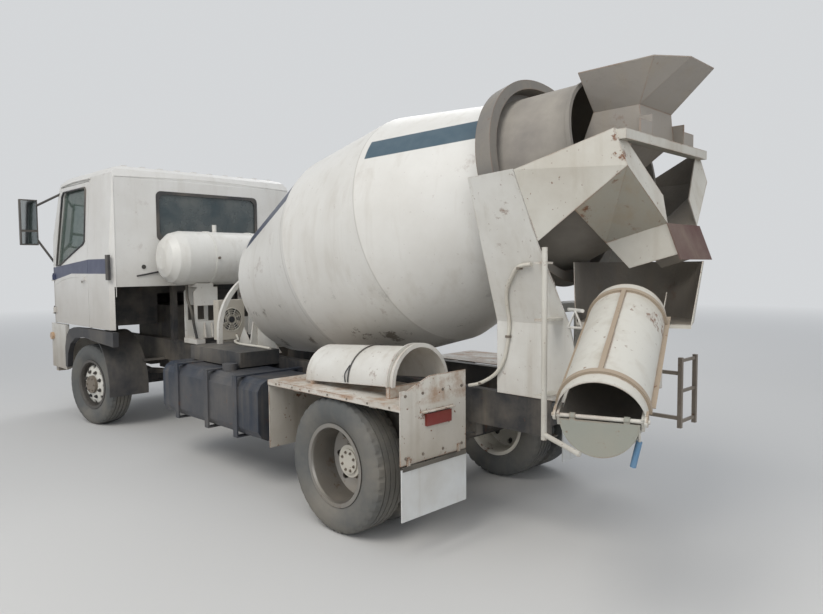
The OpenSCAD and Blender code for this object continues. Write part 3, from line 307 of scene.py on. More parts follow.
# after the colour: roughness, then strength, scale and height of the unevenness
M = {
    "body": paint("body_paint", (0.68, 0.665, 0.62), 0.5, 0.18,
                  dirt=0.45, rust=0.40, streak=0.45, worn=0.45, low=(0.55, 1.1, 0.6)),
    "stained": paint("stained_paint", (0.34, 0.325, 0.275), 0.65, 0.3,
                     dirt=0.7, rust=0.6, streak=0.8, worn=0.7),
    "tank": paint("tank_paint", (0.72, 0.705, 0.66), 0.4, 0.05, 5.0, dirt=0.25, rust=0.12, streak=0.25),
    "beige": paint("beige_paint", (0.52, 0.48, 0.41), 0.6, 0.3, dirt=0.5, rust=0.45, streak=0.4),
    "mortar": paint("mortar", (0.33, 0.30, 0.265), 0.85, 0.6, 16.0, 0.006,
                    dirt=0.4, rust=0.25, streak=0.35, worn=0.5),
    "inside": paint("mortar_inside", (0.21, 0.19, 0.165), 0.9, 0.7, 14.0, 0.008,
                    dirt=0.35, rust=0.12, streak=0.3),
    "steel": paint("bare_steel", (0.20, 0.17, 0.14), 0.6, 0.3, 20.0, metal=0.4,
                   dirt=0.4, rust=0.6, streak=0.2),
    "ring": paint("ring_steel", (0.185, 0.172, 0.155), 0.7, 0.4, 18.0, 0.004,
                  dirt=0.35, rust=0.4, streak=0.3, worn=0.4),
    "worn_plate": paint("worn_plate", (0.27, 0.275, 0.235), 0.7, 0.35, 16.0, 0.003,
                        dirt=0.45, rust=0.5, streak=0.5, worn=0.5),
    "cream": paint("chute_paint", (0.59, 0.57, 0.51), 0.6, 0.25,
                   dirt=0.55, rust=0.7, streak=0.45, worn=0.7),
    "rusty": paint("rusty_bands", (0.36, 0.285, 0.21), 0.75, 0.4, 24.0, 0.003,
                   dirt=0.5, rust=1.4, streak=0.3, rust_scale=11.0),
    "black": paint("black_paint", (0.030, 0.032, 0.036), 0.5, 0.15, dirt=0.30, rust=0.25, streak=0.25),
    "under": paint("underbody", (0.028, 0.028, 0.030), 0.65, 0.3, dirt=0.42, rust=0.4, streak=0.2),
    "navy": paint("tank_navy", (0.018, 0.026, 0.042), 0.5, 0.15, dirt=0.22, rust=0.2, streak=0.2),
    "plastic": paint("faded_plastic", (0.035, 0.035, 0.038), 0.55, 0.2, 40.0, 0.001,
                     dirt=0.3, rust=0.0, streak=0.15),
    "rubber": paint("rubber", (0.040, 0.039, 0.037), 0.8, 0.25, 25.0, dirt=0.45, rust=0.0, streak=0.1),
    "maroon": paint("maroon_rubber", (0.090, 0.040, 0.036), 0.75, 0.2, dirt=0.35, rust=0.0, streak=0.3),
    "flap": paint("mud_flap", (0.66, 0.67, 0.66), 0.6, 0.2, dirt=0.45, rust=0.0, streak=0.45),
    "tyre": paint("tyre_rubber", (0.105, 0.108, 0.105), 0.85, 0.25, 30.0,
                  dirt=0.42, rust=0.0, streak=0.12),
    "rim": paint("rim_paint", (0.64, 0.61, 0.535), 0.5, 0.15, dirt=0.5, rust=0.6, streak=0.25),
    "worn_rim": paint("worn_rim", (0.30, 0.285, 0.265), 0.38, 0.12, 9.0, metal=0.75,
                      dirt=0.45, rust=0.5, streak=0.2),
    "mirror_glass": paint("mirror_glass", (0.30, 0.33, 0.35), 0.06, 0.02, 5.0, 0.0005, metal=1.0,
                          dirt=0.12, rust=0.0, streak=0.1),
    "seat": paint("seat_cloth", (0.10, 0.10, 0.11), 0.85, 0.3, 60.0, 0.001, dirt=0.2, rust=0.0, streak=0.0),
    "red": paint("red_lens", (0.19, 0.022, 0.016), 0.35, 0.1, 60.0, 0.001, dirt=0.30, rust=0.2, streak=0.3),
    "tan": paint("tan_lens", (0.50, 0.33, 0.20), 0.35, 0.1, 60.0, 0.001, dirt=0.3, rust=0.0, streak=0.1),
    "lens": paint("clear_lens", (0.55, 0.56, 0.55), 0.12, 0.1, 60.0, 0.001, dirt=0.2, rust=0.0, streak=0.1),
    "blue": paint("blue_grip", (0.10, 0.22, 0.36), 0.5, 0.1, dirt=0.25, rust=0.0, streak=0.1),
    "glass": glass("window_glass", (0.05, 0.075, 0.085), 0.72),
    "door_glass": glass("door_pane", (0.10, 0.15, 0.13), 0.55),
    "fender": fender_paint(),
    "drum": drum_paint(),
    "cab": cab_paint(),
    "front_rim": front_rim(),
}

# ---------------------------------------------------------------- materials of the CAD nodes
DRESS = {
    "cab": ["cab_shell", "door_left", "door_right"],
    "body": ["bumper", "tank_stand", "front_pedestal", "rear_pedestal", "spare_chute"],
    "fender": ["rear_fenders"],
    "tank": ["water_tank"],
    "beige": ["oil_cooler"],
    "worn_plate": ["chute_flap"],
    "cream": ["chute_extension", "main_chute", "chute_bowl", "collector", "control_rod"],
    "mortar": ["charge_hopper"],
    "ring": ["drum_ring"],
    "steel": ["roller_left", "roller_right", "chute_swivel", "rear_ladder"],
    "black": ["side_boxes"],
    "under": ["frame", "front_axle", "rear_axle", "driveline", "knuckle_left", "knuckle_right"],
    "navy": ["fuel_tank"],
    "plastic": ["front_mudguards", "cab_trim", "mirrors", "steering_wheel"],
    "seat": ["cab_interior"],
    "flap": ["rubber_flaps"],
    "tyre": ["tyre_front_left", "tyre_front_right", "tyres_rear_left", "tyres_rear_right"],
    "rim": ["rims_rear_left", "rims_rear_right"],
    "front_rim": ["rim_front_left", "rim_front_right"],
    "glass": ["cab_glass"],
    "door_glass": ["door_glass_left", "door_glass_right"],
    "red": ["lamps"],
    "drum": ["mixing_drum", "drum_neck"],
}
SHARP, SHARP_ON_TANK = 32, 60

for key, names in DRESS.items():
    for name in names:
        mesh = NODES[name].data
        mesh.materials.clear()
        mesh.materials.append(M[key])
        mesh.set_sharp_from_angle(angle=math.radians(SHARP_ON_TANK if key == "tank" else SHARP))
        for poly in mesh.polygons:
            poly.material_index = 0
            poly.use_smooth = True


def second(node, key, test):
    """Gives a second material to the faces of a node that pass the test of centre and normal."""
    mesh = NODES[node].data
    mesh.materials.append(M[key])
    slot = len(mesh.materials) - 1
    for poly in mesh.polygons:
        if test(poly.center, poly.normal):
            poly.material_index = slot


# the chutes' axis runs down from PIVOT; the sheet's outer side is CHUTE_SKIN off it
CHUTE_TURN, CHUTE_SLOPE = math.radians(109.7), math.radians(24.9)
PIVOT = shared(-1.485, 0, 1.613)
CHUTE_AXIS = Vector((math.cos(CHUTE_TURN) * math.cos(CHUTE_SLOPE),
                     math.sin(CHUTE_TURN) * math.cos(CHUTE_SLOPE), -math.sin(CHUTE_SLOPE)))
CHUTE_SKIN = 0.1885
FUNNEL_X = shared(-1.42, 0, 0).x

# bounds between the materials of one node
CAB_FLOOR_Z, CAB_WELL_X = 1.50, 3.6
HUB_R, RIM_FACE_Y = 0.115, 0.845
SIDE_LAMPS_X, HEADLAMPS_X = REAR_AXLE_X + 5.0, REAR_AXLE_X + 5.4
FUNNEL_FLAP_X = REAR_AXLE_X - 1.2


def off_chute_axis(c):
    d = c - PIVOT
    return d - CHUTE_AXIS * d.dot(CHUTE_AXIS)


def in_chute(c, v):
    """Faces that look at the chutes' axis."""
    off = off_chute_axis(c)
    return off.length > 0.02 and v.dot(off) < -0.4 * off.length


def outwards(c, v, x):
    """Above 0 for a face that looks away from the upright line at x on the centre line, below 0 towards it."""
    return (c.x - x) * v.x + c.y * v.y


def in_bowl(c, v):
    return v.z > 0.5 or outwards(c, v, PIVOT.x) < -0.05


def in_funnel(c, v):
    return outwards(c, v, FUNNEL_X) < 0 and abs(v.z) < 0.97


def under_cab(c, v):
    """Low faces of the cab that look down, inwards, or back from the wheel wells."""
    back = v.x < -0.5 and c.x > REAR_AXLE_X + CAB_WELL_X
    return c.z < CAB_FLOOR_Z and (v.z < -0.5 or c.y * v.y < -0.1 or back)


def on_outer_rim(c, side):
    return math.hypot(c.x - REAR_AXLE_X, c.z - TYRE_R) > HUB_R and side * c.y > RIM_FACE_Y


second("main_chute", "inside", in_chute)
second("chute_extension", "inside", in_chute)
second("chute_extension", "rusty", lambda c, v: off_chute_axis(c).length > CHUTE_SKIN)
second("chute_bowl", "inside", in_bowl)
second("collector", "inside", in_funnel)
second("collector", "stained", lambda c, v: not in_funnel(c, v) and v.z < -0.25)
second("cab_shell", "under", under_cab)
second("rims_rear_left", "worn_rim", lambda c, v: on_outer_rim(c, 1))
second("rims_rear_right", "worn_rim", lambda c, v: on_outer_rim(c, -1))
second("lamps", "lens", lambda c, v: c.x > HEADLAMPS_X)
second("lamps", "tan", lambda c, v: SIDE_LAMPS_X < c.x < HEADLAMPS_X)
second("rubber_flaps", "maroon", lambda c, v: c.x < FUNNEL_FLAP_X)


def keep(o, key, body):
    """Adds an object to the scene in a material of M, riding on a body of the frame."""
    o.data.materials.append(M[key])
    bpy.context.collection.objects.link(o)
    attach(o, body)
    return o


def solid(name, verts, faces, key, body, bevel=0.0, angle=35):
    """A mesh piece; edges sharper than angle stay sharp."""
    mesh = bpy.data.meshes.new(name)
    mesh.from_pydata([shared(*v) for v in verts], [], faces)
    mesh.update()
    mesh.set_sharp_from_angle(angle=math.radians(angle))
    for poly in mesh.polygons:
        poly.use_smooth = True
    o = bpy.data.objects.new(name, mesh)
    if bevel:
        edge = o.modifiers.new("edge", "BEVEL")
        edge.width = bevel
        edge.segments = 2
    return keep(o, key, body)


def joined(name, parts, key, body, bevel=0.0, angle=35):
    """Several (verts, faces) lists as one piece."""
    verts, faces = [], []
    for v, f in parts:
        faces += [[i + len(verts) for i in q] for q in f]
        verts += v
    return solid(name, verts, faces, key, body, bevel, angle)


BLOCK_FACES = [(0, 2, 3, 1), (4, 5, 7, 6), (0, 1, 5, 4), (2, 6, 7, 3), (0, 4, 6, 2), (1, 3, 7, 5)]
WEDGE_FACES = [(0, 2, 1), (3, 4, 5), (0, 1, 4, 3), (1, 2, 5, 4), (2, 0, 3, 5)]


def block(x0, x1, y0, y1, z0, z1):
    return [(x, y, z) for x in (x0, x1) for y in (y0, y1) for z in (z0, z1)], BLOCK_FACES


def cylinder(c, axis, r, h, n=16, r_end=None):
    """Cylinder of n sides from c along axis, or a cone to r_end."""
    a = Vector(axis).normalized()
    u = a.orthogonal().normalized()
    w = a.cross(u)
    c = Vector(c)
    verts = []
    for along, radius in ((0, r), (h, r if r_end is None else r_end)):
        for i in range(n):
            t = 2 * math.pi * i / n
            verts.append(tuple(c + a * along + (u * math.cos(t) + w * math.sin(t)) * radius))
    faces = [[i, (i + 1) % n, n + (i + 1) % n, n + i] for i in range(n)]
    return verts, faces + [list(range(n))[::-1], list(range(n, 2 * n))]


def curve_through(pts, loop, steps=8):
    """Points on a smooth curve that passes through all the given ones."""
    out, n = [], len(pts)
    for i in range(n if loop else n - 1):
        a, b = pts[i], pts[(i + 1) % n]
        before = pts[i - 1] if loop or i else a
        after = pts[(i + 2) % n] if loop or i + 2 < n else b
        for k in range(steps):
            t = k / steps
            out.append(0.5 * (2 * a + (b - before) * t + (2 * before - 5 * a + 4 * b - after) * t * t
                              + (3 * a - before - 3 * b + after) * t ** 3))
    return out if loop else out + [pts[-1]]


def tube(name, pts, r, key, body, loop=False, smooth=True):
    """A pipe or bar of radius r through the points."""
    pts = [Vector(p) for p in pts]
    if smooth:
        pts = curve_through(pts, loop)
    curve = bpy.data.curves.new(name, "CURVE")
    curve.dimensions = "3D"
    curve.bevel_depth = r
    curve.bevel_resolution = 3
    curve.use_fill_caps = True
    spline = curve.splines.new("POLY")
    spline.points.add(len(pts) - 1)
    for point, p in zip(spline.points, pts):
        point.co = (*shared(*p), 1)
    spline.use_cyclic_u = loop
    return keep(bpy.data.objects.new(name, curve), key, body)


def rounded(w, h, r, n=6):
    """Rounded rectangle about the origin, half sizes w and h."""
    pts = []
    for cx, cy, start in ((w - r, h - r, 0), (r - w, h - r, 90), (r - w, r - h, 180), (w - r, r - h, 270)):
        for i in range(n + 1):
            a = math.radians(start + 90 * i / n)
            pts.append((cx + r * math.cos(a), cy + r * math.sin(a)))
    return pts


def gasket(name, outer, inner, place, key, body):
    """Flat ring between two outlines of as many points; place(u, v, k) gives the point at depth k 0 or 1."""
    n = len(outer)
    verts = [place(u, v, k) for k in (0, 1) for line in (outer, inner) for u, v in line]
    faces = []
    for i in range(n):
        j = (i + 1) % n
        faces += [[i, j, n + j, n + i], [2 * n + j, 2 * n + i, 3 * n + i, 3 * n + j],
                  [j, i, 2 * n + i, 2 * n + j], [n + i, n + j, 3 * n + j, 3 * n + i]]
    return solid(name, verts, faces, key, body)


# ---------------------------------------------------------------- tyres with their tread
# the tread's half width, and its grooves' middles and half widths, in widths of the tyre; depth in metres
TREAD_HALF = 0.275
GROOVES = (-0.235, -0.08, 0.08, 0.235)
GROOVE_TOP, GROOVE_FOOT, GROOVE_DEPTH = 0.017, 0.012, 0.012


def tyre_profile():
    """Across the tyre: radius, place in widths of the tyre, and how deep a shoulder notch cuts in."""
    side = [(RIM_R - 0.008, 0.36, 0), (RIM_R + 0.008, 0.40, 0), (RIM_R + 0.026, 0.43, 0), (0.312, 0.478, 0),
            (TYRE_R - 0.092, 0.50, 0), (0.374, 0.493, 0), (TYRE_R - 0.030, 0.47, 0.003),
            (TYRE_R - 0.007, 0.40, 0.010), (TYRE_R - 0.0006, 0.31, 0.010)]
    tread = [(TYRE_R, -TREAD_HALF, 0)]
    for g in GROOVES:
        tread += [(TYRE_R, g - GROOVE_TOP, 0), (TYRE_R - GROOVE_DEPTH, g - GROOVE_FOOT, 0),
                  (TYRE_R - GROOVE_DEPTH, g + GROOVE_FOOT, 0), (TYRE_R, g + GROOVE_TOP, 0)]
    tread.append((TYRE_R, TREAD_HALF, 0))
    low = [(r, -w, notch) for r, w, notch in side]
    high = [(r, w, notch) for r, w, notch in side[::-1]]
    return low + tread + high


def tyre(where, turn, n=144):
    """Tyre about where, steered by turn; every fourth of its n sections has a shoulder notch."""
    profile = tyre_profile()
    m = len(profile)
    verts, faces = [], []
    for i in range(n):
        a = 2 * math.pi * i / n
        for r, w, notch in profile:
            if i % 4 == 0:
                r -= notch
            u, v, z = r * math.cos(a), w * TYRE_W, r * math.sin(a)
            verts.append((where[0] + u * math.cos(turn) - v * math.sin(turn),
                          where[1] + u * math.sin(turn) + v * math.cos(turn), where[2] + z))
    for i in range(n):
        j = (i + 1) % n
        for k in range(m):
            q = (k + 1) % m
            faces.append([i * m + k, i * m + q, j * m + q, j * m + k])
    return verts, faces


def front_at(side):
    """Middle of a front tyre, at the end of its steered stub axle."""
    return (WHEELBASE - side * STUB * math.sin(STEER), side * KINGPIN_Y + side * STUB * math.cos(STEER), TYRE_R)


for side, word in SIDES:
    o = joined("treaded_tyre_front_" + word, [tyre(front_at(side), STEER)], "tyre", f"front_{word}_wheel",
               angle=28)
    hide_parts("tyre_front_" + word)
    o = joined("treaded_tyres_rear_" + word, [tyre((0, side * y, TYRE_R), 0) for y in (TWIN_OUT, TWIN_IN)],
               "tyre", f"rear_{word}_wheels", angle=28)
    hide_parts("tyres_rear_" + word)


def lands(node, start, way):
    """Where a ray meets a node, given from the rear axle."""
    hit, at, _, _ = NODES[node].ray_cast(shared(*start), Vector(way))
    return Vector((at.x - REAR_AXLE_X, at.y, at.z)) if hit else None


def nuts(name, node, body, centre, axis, circle, count, size, key):
    """Nuts with washers and stud ends on a circle about axis, set down where they meet the node."""
    a = Vector(axis)
    u = Vector((0, 0, 1))
    w = a.cross(u).normalized()
    parts = []
    for i in range(count):
        t = 2 * math.pi * (i + 0.5) / count
        c = Vector(centre) + (u * math.cos(t) + w * math.sin(t)) * circle
        at = lands(node, c + a * 0.5, -a)
        if at is None or (at - c).dot(a) < -0.2:
            continue
        parts.append(cylinder(at - a * 0.001, a, size * 1.25, 0.005, 12))
        parts.append(cylinder(at, a, size, size * 1.1, 6, size * 0.96))
        parts.append(cylinder(at, a, size * 0.5, size * 1.6, 8))
    joined(name, parts, key, body)


NUT, NUT_CIRCLE, BOLT = 0.017, 0.1375, 0.008
for side, word in SIDES:
    stub_axis = (-math.sin(STEER) * side, math.cos(STEER) * side, 0)
    front = ("rim_front_" + word, f"front_{word}_wheel", front_at(side), stub_axis)
    rear = ("rims_rear_" + word, f"rear_{word}_wheels", (0, side * TWIN_OUT, TYRE_R), (0, side, 0))
    nuts("wheel_nuts_front_" + word, *front, NUT_CIRCLE, 8, NUT, "under")
    nuts("hub_bolts_front_" + word, *front, 0.070, 6, BOLT, "steel")
    nuts("wheel_nuts_rear_" + word, *rear, NUT_CIRCLE, 8, NUT, "steel")
    nuts("hub_bolts_rear_" + word, *rear, 0.060, 8, BOLT, "steel")

# ---------------------------------------------------------------- cab
CAB_REAR_X = 3.505
REAR_WINDOW_Z = (1.985 + 2.465) / 2

# windscreen: its plane through x and z, its lean, the way out of it in x and z, its middle and height
SCREEN_X, SCREEN_Z, SCREEN_LEAN = 5.345, 1.70, 285 / 890
SCREEN_OUT_X, SCREEN_OUT_Z = 0.952, 0.305
SCREEN_MID_Z, SCREEN_H, SCREEN_TAPER = 2.1425, 0.755, 0.066


def rear_wall(u, v, k):
    return (CAB_REAR_X + 0.0015 - 0.007 * k, u, REAR_WINDOW_Z + v)


def screen_x(z):
    return SCREEN_X - (z - SCREEN_Z) * SCREEN_LEAN


def screen(u, v, k):
    """Point of the windscreen, u across and v up from its middle; the pane is narrower at its top."""
    z = SCREEN_MID_Z + v
    return (screen_x(z) + 0.004 * k, u * (1 - SCREEN_TAPER * (v + SCREEN_H / 2) / SCREEN_H), z + 0.002 * k)


def on_screen(y, z, off):
    """Point off in front of the windscreen."""
    return (screen_x(z) + off * SCREEN_OUT_X, y, z + off * SCREEN_OUT_Z)


def skin(z):
    """Half width of the cab's side at height z; the side leans in above 1.75."""
    return 1.080 - max(0.0, z - 1.75) * 0.050 / 0.970


gasket("rear_window_gasket", rounded(0.598, 0.258, 0.055), rounded(0.566, 0.226, 0.075), rear_wall, "plastic",
       "cab")
gasket("windscreen_gasket", rounded(0.945, 0.400, 0.06), rounded(0.895, 0.350, 0.08), screen, "plastic", "cab")

# outline of a door's window, x and z
DOOR_WINDOW = [(4.215, 1.975), (4.26, 1.945), (4.42, 1.90), (4.96, 1.73), (5.095, 1.722), (5.08, 1.80),
               (4.945, 2.50), (4.90, 2.545), (4.245, 2.545), (4.215, 2.515)]
for side, word in SIDES:
    tube("door_window_rubber_" + word, [(x, side * (skin(z) + 0.001), z) for x, z in DOOR_WINDOW], 0.011,
         "plastic", f"{word}_door", loop=True, smooth=False)
    tube("drip_rail_" + word, [(4.08, side * (skin(2.60) + 0.004), 2.628),
                               (4.60, side * (skin(2.62) + 0.004), 2.632),
                               (4.97, side * (skin(2.60) + 0.002), 2.612)], 0.008, "cab", "cab")
    tube("door_crease_" + word, [(5.15, side * 1.079, 1.50), (4.90, side * 1.0795, 1.56),
                                 (4.62, side * 1.0795, 1.59), (4.36, side * 1.079, 1.60)],
         0.004, "cab", f"{word}_door")
    joined("door_lock_" + word, [cylinder((4.235, side * 1.101, 1.545), (0, side, 0), 0.012, 0.004, 12)],
           "steel", f"{word}_door")

tube("rear_wall_seam", [(CAB_REAR_X, 1.020, 2.600), (CAB_REAR_X, 0.0, 2.632), (CAB_REAR_X, -1.020, 2.600)],
     0.0035, "cab", "cab")
for y in (1.028, -1.028):
    tube("rear_corner_seam", [(CAB_REAR_X, y, 1.40), (CAB_REAR_X, y, 2.56)], 0.0035, "cab", "cab", smooth=False)
tube("rear_wall_bar", [(3.500, 0.819, 1.607), (3.497, 0.70, 1.628), (3.500, 0.556, 1.655)], 0.008, "plastic",
     "cab")
joined("rear_wall_grommet", [cylinder((CAB_REAR_X, 0.745, 1.700), (-1, 0, 0), 0.022, 0.006, 16)], "rubber",
       "cab")
joined("grille_slots", [block(5.4125, 5.416, -0.598, 0.598, z + 0.001, z + 0.027)
                        for z in (1.13, 1.19, 1.25, 1.31, 1.37)], "plastic", "cab")

for y in (0.62, -0.18):
    tube("wiper_arm", [on_screen(y, 1.735, 0.030), on_screen(y - 0.18, 1.85, 0.035),
                       on_screen(y - 0.36, 1.95, 0.022)], 0.008, "plastic", "cab")
    tube("wiper_blade", [on_screen(y - 0.66, 1.86, 0.014), on_screen(y - 0.36, 1.95, 0.016),
                         on_screen(y - 0.06, 2.04, 0.014)], 0.006, "rubber", "cab")
for side, _ in SIDES:
    joined("headlamp_ring", [block(5.424, 5.432, *span(side, 0.642, 0.880), z, z + 0.008)
                             for z in (0.602, 0.720)], "plastic", "chassis")
for side, _ in SIDES:
    y0, y1 = span(side, 1.228, 1.387)
    joined("mirror_glass", [block(5.2485, 5.2515, y0, y1, 2.135, 2.465)], "mirror_glass", "cab", 0.001)
    joined("mirror_glass_low", [block(5.2485, 5.2515, y0, y1, 1.975, 2.110)], "mirror_glass", "cab", 0.001)

# ---------------------------------------------------------------- between cab and drum
FAN_Y, FAN_Z, GUARD_X = 0.285, 1.178, 2.579


def on_fan(x, t, r, aside=0.0):
    """Point r from the cooler fan's axis at angle t, and moved aside at right angles to that."""
    c, s = math.cos(t), math.sin(t)
    return (x, FAN_Y + r * c - aside * s, FAN_Z + r * s + aside * c)


parts = [cylinder((2.581, FAN_Y, FAN_Z), (-1, 0, 0), 0.030, 0.006, 20)]
for t in [math.pi * i / 3 for i in range(6)]:
    blade = [on_fan(2.600, t, 0.045), on_fan(2.600, t, 0.105, 0.02), on_fan(2.588, t, 0.105, -0.03),
             on_fan(2.588, t, 0.05, -0.02)]
    parts.append((blade, [[0, 1, 2, 3], [3, 2, 1, 0]]))
joined("cooler_fan", parts, "black", "chassis")
for ring_r, wire in ((0.112, 0.004), (0.090, 0.0025), (0.068, 0.0025), (0.046, 0.0025)):
    tube("fan_guard_ring", [on_fan(GUARD_X, a * math.pi / 12, ring_r) for a in range(24)], wire, "rim",
         "chassis", loop=True, smooth=False)
joined("fan_guard_spokes", [cylinder(on_fan(GUARD_X, t, 0.04), (0, math.cos(t), math.sin(t)), 0.0025, 0.074, 8)
                            for t in [math.pi * (i + 0.5) / 4 for i in range(8)]], "rim", "chassis")
tube("white_line_to_the_cooler", [(2.575, 0.24, 1.02), (2.45, 0.30, 0.992), (2.30, 0.42, 0.998),
                                  (2.08, 0.50, 0.996), (1.80, 0.50, 0.996), (1.58, 0.50, 0.994)],
     0.011, "rim", "chassis")
solid("tank_stand_gussets", [(x, y, z) for y in (0.300, 0.306)
                             for x, z in ((2.430, 0.958), (2.200, 0.958), (2.325, 1.120))],
      WEDGE_FACES, "body", "chassis")
tube("tank_outlet", [(3.150, 0.46, 1.520), (3.150, 0.46, 1.44), (3.10, 0.48, 1.36), (3.045, 0.47, 1.25),
                     (3.03, 0.452, 1.10), (3.0, 0.44, 0.972)], 0.014, "rubber", "chassis")
for y in (0.245, -0.245):
    joined("tank_strap_bolt", [cylinder((2.868, y, 1.785), (-1, 0, 0), 0.014, 0.018, 6)], "steel", "chassis")

# ---------------------------------------------------------------- spare chute and its lashing
SPARE_X, SPARE_Y, SPARE_Z = -0.480, 0.765, 0.975
SPARE_TIP = math.radians(3.5)


def on_spare(x, a, r):
    """Point x along the spare chute and r from its axis, a degrees from its crown."""
    t = math.radians(a)
    up = r * math.cos(t)
    return (SPARE_X + x * math.cos(SPARE_TIP) + up * math.sin(SPARE_TIP), SPARE_Y + r * math.sin(t),
            SPARE_Z - x * math.sin(SPARE_TIP) + up * math.cos(SPARE_TIP))


tube("lashing", [on_spare(0.40 + 0.03 * math.sin(math.radians(a)), a, 0.2275 if abs(a) < 86 else 0.2285)
                 for a in range(-88, 89, 11)], 0.0045, "plastic", "chassis")
tube("lashing_end", [on_spare(0.43, 60, 0.231), on_spare(0.455, 75, 0.234), on_spare(0.45, 88, 0.231)], 0.004,
     "plastic", "chassis")

# ---------------------------------------------------------------- rear
tube("water_pipe", [(-0.600, 0.462, 0.936), (-0.690, 0.458, 0.962), (-0.800, 0.452, 1.030),
                    (-0.862, 0.447, 1.130), (-0.893, 0.447, 1.270), (-0.900, 0.452, 1.363),
                    (-0.907, 0.482, 1.452), (-0.929, 0.512, 1.541), (-0.987, 0.540, 1.622),
                    (-1.047, 0.560, 1.676), (-1.135, 0.566, 1.690)], 0.011, "rim", "chassis")
joined("water_pipe_clamps", [block(-0.908, -0.878, 0.434, 0.462, 1.255, 1.270),
                             block(-0.700, -0.680, 0.436, 0.472, 0.952, 0.966),
                             block(-1.062, -1.040, 0.532, 0.574, 1.660, 1.675)], "steel", "chassis", 0.002)
tube("chute_stay", [(-1.300, 0.440, 1.440), (-1.420, 0.545, 1.444), (-1.480, 0.600, 1.447)], 0.010, "body",
     "chassis")
tube("chute_stay_frame", [(-1.350, 0.530, 1.350), (-1.405, 0.545, 1.440), (-1.440, 0.535, 1.352)], 0.007,
     "body", "chassis", smooth=False)
tube("chute_stay_foot", [(-1.300, 0.442, 1.345), (-1.350, 0.530, 1.350), (-1.445, 0.535, 1.352)], 0.007,
     "body", "chassis", smooth=False)
tube("lever_grip", [(-2.044, 1.100, 0.962), (-2.030, 1.100, 0.905), (-2.018, 1.100, 0.852)], 0.013, "blue",
     "folded_chute")
tube("lever_link", [(-2.046, 1.105, 1.032), (-2.044, 1.100, 0.958)], 0.006, "cream", "folded_chute",
     smooth=False)
for side, _ in SIDES:
    joined("flap_rail", [block(-0.652, -0.6445, *span(side, 0.552, 1.092), 0.530, 0.556)], "rubber", "chassis",
           0.002)
    joined("fender_bolts", [cylinder((-0.6365, side * y, z), (-1, 0, 0), 0.009, 0.006, 6)
                            for y in (0.58, 0.75, 0.92, 1.06) for z in (0.60, 0.955)], "steel", "chassis")
joined("fender_edge_bolts", [cylinder((-0.55 + 0.19 * k, 1.0995, 0.884), (0, 1, 0), 0.007, 0.004, 6)
                             for k in range(7)], "steel", "chassis")

# ---------------------------------------------------------------- stage
PALE = (0.66, 0.675, 0.69, 1)
FLOOR = (0.60, 0.59, 0.57, 1)
FADE_START, FADE_END = 7.0, 26.0


def seen_rays(tree):
    """1 for the rays that show the background: from the camera, off metal and through glass."""
    path = tree.nodes.new("ShaderNodeLightPath")
    out = path.outputs["Is Camera Ray"]
    for kind in ("Is Glossy Ray", "Is Transmission Ray"):
        either = tree.nodes.new("ShaderNodeMath")
        either.operation = "MAXIMUM"
        tree.links.new(out, either.inputs[0])
        tree.links.new(path.outputs[kind], either.inputs[1])
        out = either.outputs[0]
    return out


def floor_material():
    """Pale matt floor that runs into the backdrop far from the truck."""
    n = Nodes("floor", 0.9)
    n.shader.inputs["Base Color"].default_value = FLOOR
    x, y, _ = n.xyz()
    glow = n.tree.nodes.new("ShaderNodeEmission")
    glow.inputs["Color"].default_value = PALE
    fade = n.tree.nodes.new("ShaderNodeMixShader")
    n.link(n.mul(n.step(n.distance(x, y), FADE_START, FADE_END), seen_rays(n.tree)), fade.inputs[0])
    n.link(n.shader.outputs[0], fade.inputs[1])
    n.link(glow.outputs[0], fade.inputs[2])
    n.link(fade.outputs[0], n.tree.nodes["Material Output"].inputs[0])
    return n.material


bpy.ops.mesh.primitive_plane_add(size=400, location=(0, 0, -0.0005))
floor = bpy.context.object
floor.name = "stage_floor"
floor.data.materials.append(floor_material())

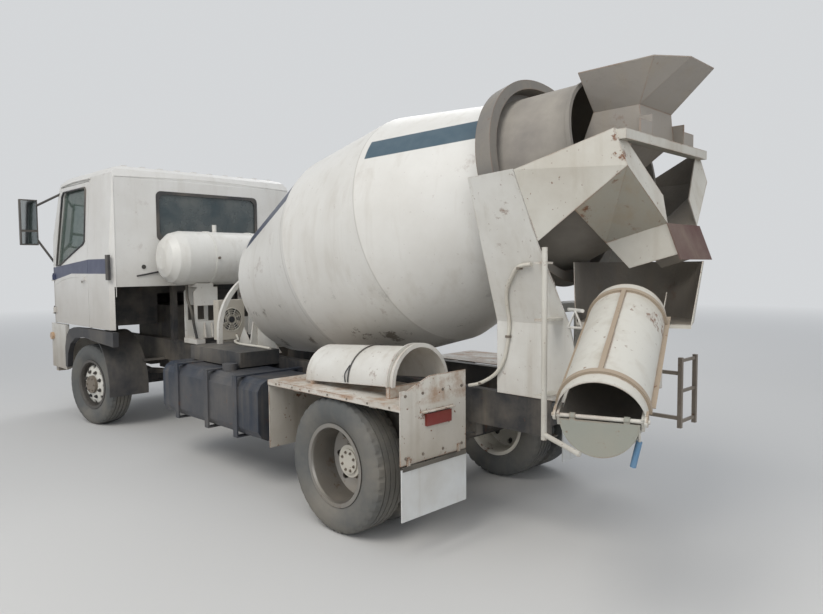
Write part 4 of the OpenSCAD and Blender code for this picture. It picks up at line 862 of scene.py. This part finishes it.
# the sky lights the truck; the rays that show the background see PALE instead
world = bpy.data.worlds.new("studio")
bpy.context.scene.world = world
world.use_nodes = True
sky = world.node_tree
light_sky = sky.nodes["Background"]
light_sky.inputs[0].default_value = (0.80, 0.86, 0.95, 1)
light_sky.inputs[1].default_value = 0.60
seen_sky = sky.nodes.new("ShaderNodeBackground")
seen_sky.inputs[0].default_value = PALE
pick = sky.nodes.new("ShaderNodeMixShader")
sky.links.new(seen_rays(sky), pick.inputs[0])
sky.links.new(light_sky.outputs[0], pick.inputs[1])
sky.links.new(seen_sky.outputs[0], pick.inputs[2])
sky.links.new(pick.outputs[0], sky.nodes["World Output"].inputs[0])


def area(name, where, aim, size, power, colour=(1, 1, 1)):
    """A square light at where, turned to aim."""
    light = bpy.data.lights.new(name, "AREA")
    light.energy = power
    light.size = size
    light.color = colour
    o = bpy.data.objects.new(name, light)
    bpy.context.collection.objects.link(o)
    o.location = where
    o.rotation_euler = (Vector(aim) - Vector(where)).to_track_quat("-Z", "Y").to_euler()


area("key", (-3, 9, 11), (0, 0, 1), 7, 920, (1.0, 0.97, 0.92))
area("fill", (-11, 4, 6), (0, 0, 1.2), 8, 290)
area("rim", (6, -9, 9), (0, 0, 1), 7, 350)

# ---------------------------------------------------------------- camera, solved from the photograph
PHOTO_W, FOCAL_PX, SENSOR_MM = 823.0, 670.526, 36.0
CAMERA_AT = shared(-3.302, 3.657, 1.681)
YAW, PITCH, ROLL = (math.radians(a) for a in (-44.868, -3.439, -0.418))

cam_data = bpy.data.cameras.new("camera")
cam_data.sensor_width = SENSOR_MM
cam_data.lens = SENSOR_MM * FOCAL_PX / PHOTO_W
cam_data.clip_start = 0.05
cam_data.clip_end = 300
cam = bpy.data.objects.new("camera", cam_data)
bpy.context.collection.objects.link(cam)

ahead = Vector((math.cos(YAW) * math.cos(PITCH), math.sin(YAW) * math.cos(PITCH), math.sin(PITCH)))
level_right = ahead.cross(Vector((0, 0, 1))).normalized()
level_up = level_right.cross(ahead)
right = level_right * math.cos(ROLL) + level_up * math.sin(ROLL)
up = -level_right * math.sin(ROLL) + level_up * math.cos(ROLL)
cam.matrix_world = Matrix.Translation(CAMERA_AT) @ Matrix((right, up, -ahead)).transposed().to_4x4()
bpy.context.scene.camera = cam
bpy.context.scene.view_settings.view_transform = "Standard"
